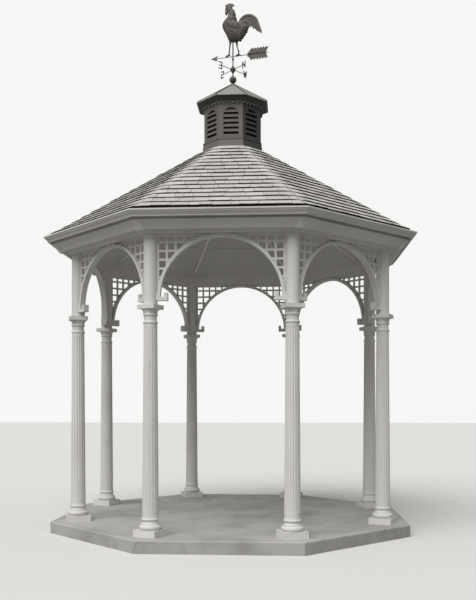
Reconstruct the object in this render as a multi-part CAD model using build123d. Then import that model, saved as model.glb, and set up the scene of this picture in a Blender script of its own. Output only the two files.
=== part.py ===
from build123d import *
import os
from math import atan, cos, degrees, hypot, radians, sin, sqrt, tan

# Octagonal garden gazebo: eight fluted columns carry lattice arches, a shingled roof, a louvred cupola
# and a turning rooster weathervane. Lengths are millimetres, +Z is up, and the origin is the centre of
# the floor slab's underside. Bay 1, between columns 1 and 2, faces -Y. Heights are above the deck,
# the slab's top, and a flat is the distance from the centre to a side of an octagon.
os.makedirs("parts", exist_ok=True)

# Plan
SIDES = 8
STEP = 360 / SIDES
HALF_STEP = STEP / 2
COLUMN_CIRCLE = 2134.0
FLAT = cos(radians(HALF_STEP))
COLUMN_LINE = COLUMN_CIRCLE * FLAT
HALF_BAY = COLUMN_CIRCLE * sin(radians(HALF_STEP))
CUT_MARGIN = 60.0

# Floor slab
SLAB_REACH = 328.4
SLAB_FLAT = COLUMN_LINE + SLAB_REACH
SLAB_HEIGHT = 150.0
SLAB_NOSING = 15.0
DECK = SLAB_HEIGHT

# Column base, from the deck up
PLINTH_WIDTH = 287.0
PLINTH_HEIGHT = 75.0
TORUS_HEIGHT = 63.0
TORUS_NECK = 103.0
TORUS_SWELL = 28.0
FILLET_RADIUS = 109.0
FILLET_HEIGHT = 9.0
SCOTIA_HEIGHT = 37.0
SCOTIA_SAG = 11.0
BASE_RING_NECK = 99.0
BASE_RING_HEIGHT = 24.0
BASE_RING_SWELL = 7.0
SHAFT_CURVE_HEIGHT = 28.0
SHAFT_CURVE_SAG = 1.3
SHAFT_FOOT_RADIUS = 95.0
TORUS_TOP = PLINTH_HEIGHT + TORUS_HEIGHT + FILLET_HEIGHT
SHAFT_FOOT = TORUS_TOP + SCOTIA_HEIGHT + BASE_RING_HEIGHT + SHAFT_CURVE_HEIGHT

# Shaft and capital
SHAFT_LENGTH = 2204.0
SHAFT_HEAD = SHAFT_FOOT + SHAFT_LENGTH
SHAFT_HEAD_RADIUS = 79.0
NECK_RING_HEIGHT = 34.0
NECK_RING_SWELL = 10.5
NECK_RADIUS = 74.0
NECK_HEIGHT = 54.0
COLLAR_RADIUS = 78.0
COLLAR_HEIGHT = 38.0
COLLAR_SWELL = 7.0
FLARE_STEP = 4.0
FLARE_FOOT_RADIUS = 83.0
FLARE_HEAD_RADIUS = 104.0
FLARE_HEIGHT = 42.0
FLARE_SAG = 5.0
ABACUS_WIDTH = 222.0
ABACUS_HEIGHT = 48.0
ABACUS_FOOT = SHAFT_HEAD + NECK_RING_HEIGHT + NECK_HEIGHT + COLLAR_HEIGHT + FLARE_STEP + FLARE_HEIGHT
ABACUS_TOP = ABACUS_FOOT + ABACUS_HEIGHT

# Flutes
FLUTES = 16
FLUTE_MARGIN_LOW = 60.0
FLUTE_MARGIN_HIGH = 45.0
FLUTE_RADIUS = 13.0
FLUTE_DEPTH = 5.0

# Arches between the upper posts
POST_RADIUS = 81.5
ARCH_LIFT = 78.0
ARCH_SPRING = ABACUS_TOP + ARCH_LIFT
ARCH_OUTER = HALF_BAY - POST_RADIUS
ARCH_BAND = 35.0
ARCH_DEPTH = 75.0
ARCH_HEADROOM = 2.0
HOOK_LENGTH = 122.0
HOOK_HEIGHT = 91.0
HOOK_BAR = 42.0
HOOK_DROP = 30.0
HOOK_FOOT = ARCH_SPRING - HOOK_DROP
LEG_SEAT = 10.0
BEAM_FOOT = ARCH_SPRING + ARCH_OUTER + ARCH_HEADROOM

# Upper post
POST_HEAD_RADIUS = 79.0
POST_TAPER_LENGTH = 425.0
POST_TAPER_SWELL = 0.6
POST_TAPER_START = BEAM_FOOT - POST_TAPER_LENGTH

# Lattice
LATTICE_PITCH = 101.6
LATTICE_BAR = 25.0
LATTICE_DEPTH = 22.0
LATTICE_STILE = 89.6
LATTICE_FIRST = HALF_BAY - LATTICE_STILE
LATTICE_COLUMNS = 6
LATTICE_ROWS = 6
LATTICE_TOP_OFFSET = 10.0
LATTICE_LAP = 15.0
CRUMB_VOLUME = 1e5

# Beam, roof plate and cornice
BEAM_INNER = COLUMN_LINE - 71.6
BEAM_OUTER = COLUMN_LINE + 134.4
BEAM_HEIGHT = 145.0
BEAM_TOP = BEAM_FOOT + BEAM_HEIGHT
PLATE_WIDTH = 80.0
PLATE_REACH = 44.0
PLATE_OUTER = BEAM_OUTER + PLATE_REACH
PLATE_INNER = PLATE_OUTER - PLATE_WIDTH
CROWN_REACH = 277.0
CROWN_RISE = 58.0
CROWN_WIDTH = 18.0
CROWN_OUTER = BEAM_OUTER + CROWN_REACH
CROWN_TOP = BEAM_TOP + CROWN_RISE
COVE_SWELL = 7.0

# Roof and ceiling
EAVE_SETBACK = 95.0
EAVE_RISE = 32.0
EAVE_BLOCK_SETBACK = 18.0
ROOF_EDGE = CROWN_OUTER - EAVE_SETBACK
ROOF_EDGE_TOP = CROWN_TOP + EAVE_RISE
ROOF_SLOPE = 0.681
ROOF_THICK = 26.0
CEILING_DROP = 31.0
CEILING_SLOPE = 0.589
CEILING_THICK = 24.0
CEILING_EYE = 20.0
CEILING_APEX = BEAM_TOP - CEILING_DROP + CEILING_SLOPE * BEAM_INNER
BAND_OUTER = 1390.0
BAND_INNER = 1290.0
BAND_THICK = 14.0
RIB_WIDTH = 34.0
RIB_DEPTH = 26.0
RIB_SETBACK = 173.0
BOSS_RADIUS = 70.0
BOSS_HEIGHT = 40.0
BOSS_DROP = 45.0


def roof_top(flat):
    """Height of the roof's top surface at a flat."""
    return ROOF_EDGE_TOP + ROOF_SLOPE * (ROOF_EDGE - flat)


def roof_under(flat):
    """Height of the roof's underside at a flat."""
    return roof_top(flat) - ROOF_THICK


def ceiling_under(flat):
    """Height of the ceiling's visible face at a flat."""
    return CEILING_APEX - CEILING_SLOPE * flat


# Cupola drum, standing on the roof
DRUM_FLAT = 384.0
DRUM_WALL = 25.0
DRUM_FOOT = roof_top(DRUM_FLAT)
DRUM_HEIGHT = 642.2
DRUM_TOP = DRUM_FOOT + DRUM_HEIGHT
ROOF_HOLE = DRUM_FLAT - DRUM_WALL - 7
SKIRT_FOOT_FLAT = DRUM_FLAT + 33
SKIRT_HEAD_FLAT = DRUM_FLAT + 11
SKIRT_HEIGHT = 80.2
SKIRT_TOP = DRUM_FOOT + SKIRT_HEIGHT
SILL_FLAT = DRUM_FLAT + 18
SILL_HEIGHT = 20.0
SILL_BEVEL_WIDTH = 10.0
SILL_BEVEL_HEIGHT = 6.0
SILL_TOP = SKIRT_TOP + SILL_HEIGHT

# Louvres
LOUVRE_WIDTH = 215.0
LOUVRE_HEIGHT = 372.0
LOUVRE_LIFT = 45.0
LOUVRE_FOOT = SILL_TOP + LOUVRE_LIFT
LOUVRE_HEAD = LOUVRE_FOOT + LOUVRE_HEIGHT
LOUVRE_CASING = 5.0
LOUVRE_DEPTH = 60.0
SLATS = 5
SLAT_PITCH = 65.5
SLAT_FIRST = 51.0
SLAT_THICK = 16.0
SLAT_DEPTH = 120.0
SLAT_TILT = 45.0

# Cupola frieze, cornice and roof
FRIEZE_FLAT = DRUM_FLAT + 16
FRIEZE_HEAD = DRUM_TOP - 36
FRIEZE_HEIGHT = 47.5
FRIEZE_FOOT = FRIEZE_HEAD - FRIEZE_HEIGHT
SCALLOPS = 5
SCALLOP_PITCH = 63.0
SCALLOP_WIDTH = 54.0
SCALLOP_HEIGHT = 31.0
DROP_RADIUS = 6.0
DROP_HEIGHT = FRIEZE_FOOT + 38
EAVE_COVE_LIP = 3.0
EAVE_COVE_REACH = 72.0
EAVE_COVE_SAG = 7.0
EAVE_LIP_HEIGHT = 4.0
CUPOLA_EAVE_FLAT = DRUM_FLAT + 103
CUPOLA_EAVE_THICK = 10.0
CUPOLA_EAVE_TOP = DRUM_TOP + CUPOLA_EAVE_THICK
CUPOLA_RISE = 327.0
CUPOLA_APEX = CUPOLA_EAVE_TOP + CUPOLA_RISE
CUPOLA_SLOPE = CUPOLA_RISE / CUPOLA_EAVE_FLAT
CUPOLA_ROOF_THICK = 18.0
CUPOLA_EYE = 4.0
HIP_ROLL = 9.0
HIP_STOP = 8.0

# Finial
BALL_LIFT = 54.0
BALL_HEIGHT = CUPOLA_APEX + BALL_LIFT
BALL_RADIUS = 49.0
FINIAL_SINK = 6.0
FINIAL_FOOT_RADIUS = 13.0
FINIAL_NECK_RADIUS = 16.0
FINIAL_NECK_HEIGHT = 26.0
FINIAL_NECK_SAG = 2.5
ROD_RADIUS = 8.0
SPINDLE_TOP = BALL_HEIGHT + 278
PIN_RADIUS = 5.0
PIN_LENGTH = 132.0
PIN_TOP = SPINDLE_TOP + PIN_LENGTH
PIN_CLEARANCE = 0.08
SEAT_GAP = 1.0

# Compass points
HUB_HEIGHT = BALL_HEIGHT + 142
HUB_RADIUS = 41.0
HUB_TIP_RADIUS = 12.0
HUB_HALF_HEIGHT = 48.0
ARM_RADIUS = 4.5
ARM_REACH = 190.0
ARM_LAP = 4.0
LETTER_STAY = 8.0
LETTER_HEIGHT = 100.0
LETTER_WIDTH = 64.0
LETTER_STROKE = 13.0
LETTER_THICK = 6.0
LETTER_CENTRE = 228.0
COMPASS = {"N": -45, "W": 45, "S": 135, "E": 225}

# Weathervane
TUBE_RADIUS = 9.0
TUBE_COLLAR_RADIUS = 15.0
TUBE_COLLAR_HEIGHT = 16.0
TUBE_COLLAR_BEVEL = 4.0
TUBE_FOOT = SPINDLE_TOP + SEAT_GAP
TUBE_TOP = PIN_TOP + 135
ARROW_HEIGHT = SPINDLE_TOP + 47
ARROW_RADIUS = 4.5
ARROW_FRONT = 250.0
ARROW_LENGTH = 760.0
PLATE_THICK = 6.0
TOOTH_FIRST = 281.0
TOOTH_PITCH = 20.0
TOOTH_TOP = 88.0
TOOTH_DEPTH = 20.0
TOOTH_POINTS = 13
LOWER_SHIFT = 6.0
LOWER_RISE = 8.0
VANE_TURN = -13.4
ROOSTER_THICK = 16.0


def bay_angle(index):
    """Direction of the middle of a bay."""
    return -90 + STEP * index


def column_angle(index):
    """Direction of a column, seen from the centre."""
    return bay_angle(index) - HALF_STEP


def turned(shape, angle):
    """The shape turned about the vertical axis."""
    return Rot(0, 0, angle) * shape


def xz(x, z):
    """Point in the XZ plane."""
    return (x, 0, z)


def bowed(start, end, swell):
    """Arc in the XZ plane. A rising arc swells away from the axis, or sags where swell is negative."""
    run = end[0] - start[0]
    rise = end[2] - start[2]
    length = hypot(run, rise)
    middle_x = (start[0] + end[0]) / 2 + swell * rise / length
    middle_z = (start[2] + end[2]) / 2 - swell * run / length
    return ThreePointArc(start, xz(middle_x, middle_z), end)


def octagon(flat):
    """Regular octagon with flats square to the bay directions."""
    return RegularPolygon(flat, SIDES, major_radius=False, rotation=HALF_STEP)


def frustum(flat_low, low, flat_high, high):
    """Eight sided solid between two level octagons."""
    bottom = Pos(0, 0, low + DECK) * octagon(flat_low)
    top = Pos(0, 0, high + DECK) * octagon(flat_high)
    return loft([bottom, top], ruled=True)


def mitred(profile):
    """One side of an octagonal ring, facing +X. The profile lies in XZ with X as the flat."""
    box = profile.bounding_box()
    reach = box.max.X + CUT_MARGIN
    half = reach * tan(radians(HALF_STEP))
    plan = Polyline((0, 0), (reach, -half), (reach, half), close=True)
    low = box.min.Z - CUT_MARGIN
    wedge = Pos(0, 0, low + DECK) * extrude(make_face(plan), box.max.Z + CUT_MARGIN - low)
    bar = extrude(Pos(0, 0, DECK) * profile, half, both=True)
    return bar & wedge


def all_round(piece):
    """The piece repeated on the eight sides, as separate solids."""
    return Compound([turned(piece, STEP * index).solid() for index in range(SIDES)])


def fused(shapes):
    """One solid from pieces that meet face to face."""
    first, *rest = shapes
    return first.fuse(*rest).clean() if rest else first


def save(shape, name):
    """Write one named piece."""
    export_step(shape, f"parts/{name}.step")
    print(name, round(shape.volume / 1e9, 5), "m3,", len(shape.solids()), "solids")


# Floor slab with a rounded nosing
slab = extrude(octagon(SLAB_FLAT), SLAB_HEIGHT)
slab = fillet(slab.faces().sort_by(Axis.Z)[-1].edges(), SLAB_NOSING)
save(slab, "floor_slab")


# Column: square plinth, moulded base, fluted tapering shaft, capital and upper post
def post_profile():
    """Half section of the round upper post."""
    taper_foot = xz(POST_RADIUS, POST_TAPER_START)
    taper_head = xz(POST_HEAD_RADIUS, BEAM_FOOT)
    taper = bowed(taper_foot, taper_head, POST_TAPER_SWELL)
    rest = Polyline(taper_head, xz(0, BEAM_FOOT), xz(0, ABACUS_TOP), xz(POST_RADIUS, ABACUS_TOP), taper_foot)
    return make_face([*rest.edges(), *taper.edges()])


def shaft_profile():
    """Half section of the moulded base, the shaft and the capital, from the plinth up."""
    torus_foot = xz(TORUS_NECK, PLINTH_HEIGHT)
    torus_head = xz(TORUS_NECK, PLINTH_HEIGHT + TORUS_HEIGHT)
    fillet_foot = xz(FILLET_RADIUS, torus_head[2])
    fillet_head = xz(FILLET_RADIUS, fillet_foot[2] + FILLET_HEIGHT)
    scotia_head = xz(BASE_RING_NECK, fillet_head[2] + SCOTIA_HEIGHT)
    ring_head = xz(BASE_RING_NECK, scotia_head[2] + BASE_RING_HEIGHT)
    foot = xz(SHAFT_FOOT_RADIUS, SHAFT_FOOT)
    head = xz(SHAFT_HEAD_RADIUS, SHAFT_HEAD)
    neck_foot = xz(NECK_RADIUS, SHAFT_HEAD + NECK_RING_HEIGHT)
    neck_head = xz(NECK_RADIUS, neck_foot[2] + NECK_HEIGHT)
    collar_foot = xz(COLLAR_RADIUS, neck_head[2])
    collar_head = xz(COLLAR_RADIUS, collar_foot[2] + COLLAR_HEIGHT)
    flare_foot = xz(FLARE_FOOT_RADIUS, collar_head[2] + FLARE_STEP)
    flare_head = xz(FLARE_HEAD_RADIUS, ABACUS_FOOT)
    edges = [
        *Polyline(xz(0, PLINTH_HEIGHT), torus_foot).edges(),
        *bowed(torus_foot, torus_head, TORUS_SWELL).edges(),
        *Polyline(torus_head, fillet_foot, fillet_head).edges(),
        *bowed(fillet_head, scotia_head, -SCOTIA_SAG).edges(),
        *bowed(scotia_head, ring_head, BASE_RING_SWELL).edges(),
        *bowed(ring_head, foot, -SHAFT_CURVE_SAG).edges(),
        *Line(foot, head).edges(),
        *bowed(head, neck_foot, NECK_RING_SWELL).edges(),
        *Polyline(neck_foot, neck_head, collar_foot).edges(),
        *bowed(collar_foot, collar_head, COLLAR_SWELL).edges(),
        *Polyline(collar_head, flare_foot).edges(),
        *bowed(flare_foot, flare_head, -FLARE_SAG).edges(),
        *Polyline(flare_head, xz(0, ABACUS_FOOT), xz(0, PLINTH_HEIGHT)).edges(),
    ]
    return make_face(edges)


def flute_cutter(index):
    """Round-ended groove that follows the shaft's taper."""
    taper = (SHAFT_FOOT_RADIUS - SHAFT_HEAD_RADIUS) / SHAFT_LENGTH
    surface = SHAFT_FOOT_RADIUS - taper * FLUTE_MARGIN_LOW
    length = SHAFT_LENGTH - FLUTE_MARGIN_LOW - FLUTE_MARGIN_HIGH
    bar = Pos(0, 0, length / 2) * Cylinder(FLUTE_RADIUS, length)
    bar += Sphere(FLUTE_RADIUS)
    bar += Pos(0, 0, length) * Sphere(FLUTE_RADIUS)
    lean = Rot(0, -degrees(atan(taper)), 0) * bar
    placed = Pos(surface + FLUTE_RADIUS - FLUTE_DEPTH, 0, SHAFT_FOOT + FLUTE_MARGIN_LOW) * lean
    return turned(placed, 360 / FLUTES * (index + 0.5))


upper_post = revolve(post_profile(), Axis.Z)
column = revolve(shaft_profile(), Axis.Z)
column = column - [flute_cutter(index) for index in range(FLUTES)]
column += Pos(0, 0, PLINTH_HEIGHT / 2) * Box(PLINTH_WIDTH, PLINTH_WIDTH, PLINTH_HEIGHT)
column += Pos(0, 0, ABACUS_FOOT + ABACUS_HEIGHT / 2) * Box(ABACUS_WIDTH, ABACUS_WIDTH, ABACUS_HEIGHT)
column += upper_post
for index in range(SIDES):
    placed = turned(Pos(COLUMN_CIRCLE, 0, DECK) * column, column_angle(index))
    save(placed, f"column_{index + 1}")

# Arch and lattice of one bay, drawn in the plane of the columns with X along the bay
post_left = Pos(-HALF_BAY, 0, 0) * upper_post
post_right = Pos(HALF_BAY, 0, 0) * upper_post


def arch_solid():
    """Half-round band whose ends turn inwards as square hooks."""
    band = Circle(ARCH_OUTER) - Circle(ARCH_OUTER - ARCH_BAND)
    upper = Pos(0, ARCH_OUTER / 2) * Rectangle(2 * ARCH_OUTER, ARCH_OUTER)
    sketch = Pos(0, ARCH_SPRING) * (band & upper)
    leg_width = ARCH_BAND + LEG_SEAT
    for side in (-1, 1):
        leg_x = side * (ARCH_OUTER - ARCH_BAND + leg_width / 2)
        sketch += Pos(leg_x, HOOK_FOOT + HOOK_HEIGHT / 2) * Rectangle(leg_width, HOOK_HEIGHT)
        bar_x = side * (ARCH_OUTER - HOOK_LENGTH / 2)
        sketch += Pos(bar_x, HOOK_FOOT + HOOK_BAR / 2) * Rectangle(HOOK_LENGTH, HOOK_BAR)
        tip_x = side * (ARCH_OUTER - HOOK_LENGTH + HOOK_BAR / 2)
        sketch += Pos(tip_x, HOOK_FOOT + HOOK_HEIGHT / 2) * Rectangle(HOOK_BAR, HOOK_HEIGHT)
    solid = extrude(Plane.XZ * sketch, ARCH_DEPTH / 2, both=True)
    return solid - post_left - post_right


def lattice_bars():
    """Stiles, upright bars and rails of both corners, as one sketch."""
    bars = Sketch()
    height = BEAM_FOOT - ARCH_SPRING
    middle_z = BEAM_FOOT - height / 2
    edge = LATTICE_FIRST - LATTICE_BAR / 2
    stile_width = HALF_BAY - POST_HEAD_RADIUS + LATTICE_LAP - edge
    inner_end = LATTICE_FIRST - LATTICE_PITCH * (LATTICE_COLUMNS - 1) - LATTICE_BAR / 2
    for side in (-1, 1):
        bars += Pos(side * (edge + stile_width / 2), middle_z) * Rectangle(stile_width, height)
        for upright in range(1, LATTICE_COLUMNS):
            bar_x = side * (LATTICE_FIRST - LATTICE_PITCH * upright)
            bars += Pos(bar_x, middle_z) * Rectangle(LATTICE_BAR, height)
        for row in range(LATTICE_ROWS + 1):
            bar_z = BEAM_FOOT + LATTICE_TOP_OFFSET - LATTICE_PITCH * row
            if row == 0:
                bar_z = BEAM_FOOT - LATTICE_BAR / 2
            rail = Rectangle(HALF_BAY - inner_end, LATTICE_BAR)
            bars += Pos(side * (inner_end + HALF_BAY) / 2, bar_z) * rail
    return bars


def lattice_solids():
    """Square lattice in the two corners above the arch, clear of the arch, its hooks and the posts."""
    bars = lattice_bars()
    bars -= Pos(0, ARCH_SPRING) * Circle(ARCH_OUTER)
    bars -= Pos(0, HOOK_FOOT + HOOK_HEIGHT / 2) * Rectangle(2 * (ARCH_OUTER + LEG_SEAT), HOOK_HEIGHT)
    low = ARCH_SPRING + LATTICE_TOP_OFFSET
    bars &= Pos(0, (low + BEAM_FOOT) / 2) * Rectangle(2 * HALF_BAY, BEAM_FOOT - low)
    solid = extrude(Plane.XZ * bars, LATTICE_DEPTH / 2, both=True)
    parts = (solid - post_left - post_right).solids()
    return Compound([part for part in parts if part.volume > CRUMB_VOLUME])


def in_bay(shape, index):
    """Place a piece drawn about the origin in its bay."""
    return turned(Pos(0, -COLUMN_LINE, DECK) * shape, STEP * index)


arch = arch_solid()
lattice = lattice_solids()
for index in range(SIDES):
    save(in_bay(arch, index), f"arch_{index + 1}")
    save(in_bay(lattice, index), f"lattice_{index + 1}")


# Beam on the posts and the plate that carries the roof
def quad(inner, inner_low, inner_high, outer, outer_low, outer_high):
    """Four cornered profile between two flats."""
    outer_edge = [xz(outer, outer_low), xz(outer, outer_high)]
    inner_edge = [xz(inner, inner_high), xz(inner, inner_low)]
    return make_face(Polyline(*outer_edge, *inner_edge, close=True))


beam_profile = quad(BEAM_INNER, BEAM_FOOT, BEAM_TOP, BEAM_OUTER, BEAM_FOOT, BEAM_TOP)
save(all_round(mitred(beam_profile)), "beam")
plate_inner_top = roof_under(PLATE_INNER)
plate_outer_top = roof_under(PLATE_OUTER)
plate_profile = quad(PLATE_INNER, BEAM_TOP, plate_inner_top, PLATE_OUTER, BEAM_TOP, plate_outer_top)
save(all_round(mitred(plate_profile)), "roof_plate")


# Cornice: bed fillet, soffit, sloping cove board, drip, crown moulding and eave block
def crown(inwards, down):
    """Point measured from the crown moulding's top outer corner."""
    return xz(CROWN_OUTER - inwards, CROWN_TOP - down)


def bed(outwards, up):
    """Point measured from the beam's lower outer corner."""
    return xz(BEAM_OUTER + outwards, BEAM_FOOT + up)


block_flat = ROOF_EDGE - EAVE_BLOCK_SETBACK
cornice_edges = [
    *Polyline(crown(CROWN_WIDTH, 0), crown(0, 0), crown(0, 16), crown(12, 19)).edges(),
    *bowed(crown(12, 19), crown(27, 40), -4.2).edges(),
    *bowed(crown(27, 40), crown(45, 59), 3.8).edges(),
    *Polyline(
        crown(45, 59), crown(51, 59), crown(51, 74), crown(91, 78),
        crown(93, 96), crown(107, 99), crown(113, 108),
    ).edges(),
    *bowed(crown(113, 108), bed(90, 27), COVE_SWELL).edges(),
    *Polyline(
        bed(90, 27), bed(82, 17), bed(26, 15), bed(26, -12), bed(0, -12), bed(0, BEAM_HEIGHT),
        xz(PLATE_OUTER, BEAM_TOP), xz(PLATE_OUTER, roof_under(PLATE_OUTER)),
        xz(block_flat, roof_under(block_flat)), xz(block_flat, CROWN_TOP), crown(CROWN_WIDTH, 0),
    ).edges(),
]
save(all_round(mitred(make_face(cornice_edges))), "cornice")

# Roof boards, one panel on each slope
roof_profile = quad(
    ROOF_HOLE,
    roof_under(ROOF_HOLE),
    roof_top(ROOF_HOLE),
    ROOF_EDGE,
    roof_under(ROOF_EDGE),
    roof_top(ROOF_EDGE),
)
save(all_round(mitred(roof_profile)), "roof")

# Ceiling lining, its board band and its hip ribs
lining_profile = quad(
    CEILING_EYE,
    ceiling_under(CEILING_EYE),
    ceiling_under(CEILING_EYE) + CEILING_THICK,
    BEAM_INNER,
    ceiling_under(BEAM_INNER),
    ceiling_under(BEAM_INNER) + CEILING_THICK,
)
save(all_round(mitred(lining_profile)), "ceiling")

band_profile = quad(
    BAND_INNER,
    ceiling_under(BAND_INNER) - BAND_THICK,
    ceiling_under(BAND_INNER),
    BAND_OUTER,
    ceiling_under(BAND_OUTER) - BAND_THICK,
    ceiling_under(BAND_OUTER),
)
band = all_round(mitred(band_profile))

hip_fall = CEILING_SLOPE * FLAT
rib_start = BEAM_INNER / FLAT - RIB_SETBACK
rib_foot = CEILING_APEX - hip_fall * rib_start
rib_profile = quad(0, CEILING_APEX - RIB_DEPTH, CEILING_APEX, rib_start, rib_foot - RIB_DEPTH, rib_foot)
rib = extrude(Pos(0, 0, DECK) * rib_profile, RIB_WIDTH / 2, both=True)
boss = Pos(0, 0, DECK + CEILING_APEX - BOSS_DROP) * Cylinder(BOSS_RADIUS, BOSS_HEIGHT)
ribs = fused([boss] + [turned(rib, column_angle(index)) for index in range(SIDES)])
room = frustum(BEAM_INNER, ceiling_under(BEAM_INNER), CUPOLA_EYE, ceiling_under(CUPOLA_EYE))
room += frustum(BEAM_INNER, BEAM_FOOT, BEAM_INNER, ceiling_under(BEAM_INNER))
ribs = ribs & room
save(ribs, "ceiling_ribs")
save(band - ribs, "ceiling_band")

# Cupola drum with an arched opening in each face
roof_body = frustum(ROOF_EDGE, ROOF_EDGE_TOP, CUPOLA_EYE, roof_top(CUPOLA_EYE))


def arched(width, foot, head):
    """Round-headed opening outline, X along the face and Y up."""
    radius = width / 2
    shape = Pos(0, (foot + head - radius) / 2) * Rectangle(width, head - radius - foot)
    return shape + Pos(0, head - radius) * Circle(radius)


opening = Plane.XZ * arched(LOUVRE_WIDTH, LOUVRE_FOOT, LOUVRE_HEAD)
opening = turned(Pos(0, -DRUM_FLAT, DECK) * extrude(opening, DRUM_WALL * 2, both=True), 90)
wall_foot = DRUM_FOOT - CUT_MARGIN
wall_profile = quad(DRUM_FLAT - DRUM_WALL, wall_foot, DRUM_TOP, DRUM_FLAT, wall_foot, DRUM_TOP)
save(all_round(mitred(wall_profile) - roof_body - opening), "cupola_drum")


# Louvre panel: arched casing with tilted slats
def louvre_panel():
    """Casing and slats of one face. The slats start flush with the wall and slope up inwards."""
    outer = arched(LOUVRE_WIDTH, LOUVRE_FOOT, LOUVRE_HEAD)
    inner = arched(LOUVRE_WIDTH - 2 * LOUVRE_CASING, LOUVRE_FOOT + LOUVRE_CASING, LOUVRE_HEAD - LOUVRE_CASING)
    casing = extrude(Plane.XZ * (outer - inner), DRUM_WALL / 2, both=True)
    hole = Pos(0, LOUVRE_DEPTH - DRUM_WALL / 2, 0) * extrude(Plane.XZ * outer, LOUVRE_DEPTH)
    middle = (LOUVRE_DEPTH - DRUM_WALL) / 2
    first_z = LOUVRE_FOOT + SLAT_FIRST + LOUVRE_DEPTH / 2 * tan(radians(SLAT_TILT))
    slats = []
    for index in range(SLATS):
        slat = Rot(SLAT_TILT, 0, 0) * Box(LOUVRE_WIDTH, SLAT_DEPTH, SLAT_THICK)
        slats.append((Pos(0, middle, first_z + SLAT_PITCH * index) * slat) & hole)
    return Pos(0, -(DRUM_FLAT - DRUM_WALL / 2), DECK) * fused([casing] + slats)


save(all_round(louvre_panel()), "cupola_louvres")

# Flared skirt and sill moulding round the drum's foot
skirt_foot = roof_top(SKIRT_FOOT_FLAT) - CUT_MARGIN
skirt_profile = make_face(
    Polyline(
        xz(DRUM_FLAT, skirt_foot),
        xz(SKIRT_FOOT_FLAT, skirt_foot),
        xz(SKIRT_HEAD_FLAT, SKIRT_TOP),
        xz(SILL_FLAT, SKIRT_TOP),
        xz(SILL_FLAT, SILL_TOP - SILL_BEVEL_HEIGHT),
        xz(SILL_FLAT - SILL_BEVEL_WIDTH, SILL_TOP),
        xz(DRUM_FLAT, SILL_TOP),
        close=True,
    )
)
save(all_round(mitred(skirt_profile) - roof_body), "cupola_skirt")

# Cupola cornice: cove from the frieze out to the eave
cove_foot = xz(FRIEZE_FLAT + EAVE_COVE_LIP, FRIEZE_HEAD)
cove_head = xz(FRIEZE_FLAT + EAVE_COVE_REACH, DRUM_TOP - EAVE_LIP_HEIGHT)
cupola_cornice_edges = [
    *bowed(cove_foot, cove_head, -EAVE_COVE_SAG).edges(),
    *Polyline(
        cove_head,
        xz(cove_head[0], DRUM_TOP),
        xz(DRUM_FLAT, DRUM_TOP),
        xz(DRUM_FLAT, FRIEZE_HEAD),
        cove_foot,
    ).edges(),
]
save(all_round(mitred(make_face(cupola_cornice_edges))), "cupola_cornice")


# Scalloped frieze boards with drilled drops, on the head of the drum
def frieze_board():
    """One mitred board, facing +X, with arches cut in its foot and a drop over each point between them."""
    blank = mitred(quad(DRUM_FLAT, FRIEZE_FOOT, FRIEZE_HEAD, FRIEZE_FLAT, FRIEZE_FOOT, FRIEZE_HEAD))
    bites = Sketch()
    for index in range(SCALLOPS):
        centre = SCALLOP_PITCH * (index - (SCALLOPS - 1) / 2)
        bites += Pos(centre, FRIEZE_FOOT) * Ellipse(SCALLOP_WIDTH / 2, SCALLOP_HEIGHT)
    for index in range(SCALLOPS - 1):
        point = SCALLOP_PITCH * (index - (SCALLOPS - 2) / 2)
        bites += Pos(point, DROP_HEIGHT) * Circle(DROP_RADIUS)
    cutter = Pos(0, -DRUM_FLAT, DECK) * extrude(Plane.XZ * bites, DRUM_WALL, both=True)
    return blank - turned(cutter, 90)


save(all_round(frieze_board()), "cupola_frieze")


# Cupola roof of sheet metal and its hip rolls
def cupola_roof_top(flat):
    """Height of the cupola roof's top surface at a flat."""
    return CUPOLA_APEX - CUPOLA_SLOPE * flat


wall_inner = DRUM_FLAT - DRUM_WALL
sheet_profile = make_face(
    Polyline(
        xz(CUPOLA_EAVE_FLAT, DRUM_TOP),
        xz(CUPOLA_EAVE_FLAT, CUPOLA_EAVE_TOP),
        xz(CUPOLA_EYE, cupola_roof_top(CUPOLA_EYE)),
        xz(CUPOLA_EYE, cupola_roof_top(CUPOLA_EYE) - CUPOLA_ROOF_THICK),
        xz(wall_inner, cupola_roof_top(wall_inner) - CUPOLA_ROOF_THICK),
        xz(wall_inner, DRUM_TOP),
        close=True,
    )
)

hip_reach = CUPOLA_EAVE_FLAT / FLAT
hip_drop = CUPOLA_SLOPE * FLAT
hip_length = sqrt(1 + hip_drop**2) * (hip_reach - HIP_STOP)
hip = Rot(0, 90 + degrees(atan(hip_drop)), 0) * (Pos(0, 0, hip_length / 2) * Cylinder(HIP_ROLL, hip_length))
hip = Pos(0, 0, CUPOLA_APEX + DECK) * hip
hips = fused([turned(hip, column_angle(index)) for index in range(SIDES)])
hips -= frustum(CUPOLA_EAVE_FLAT, CUPOLA_EAVE_TOP, CUPOLA_EYE, cupola_roof_top(CUPOLA_EYE))
hips -= frustum(CUPOLA_EAVE_FLAT, DRUM_TOP - CUT_MARGIN, CUPOLA_EAVE_FLAT, CUPOLA_EAVE_TOP)

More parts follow.
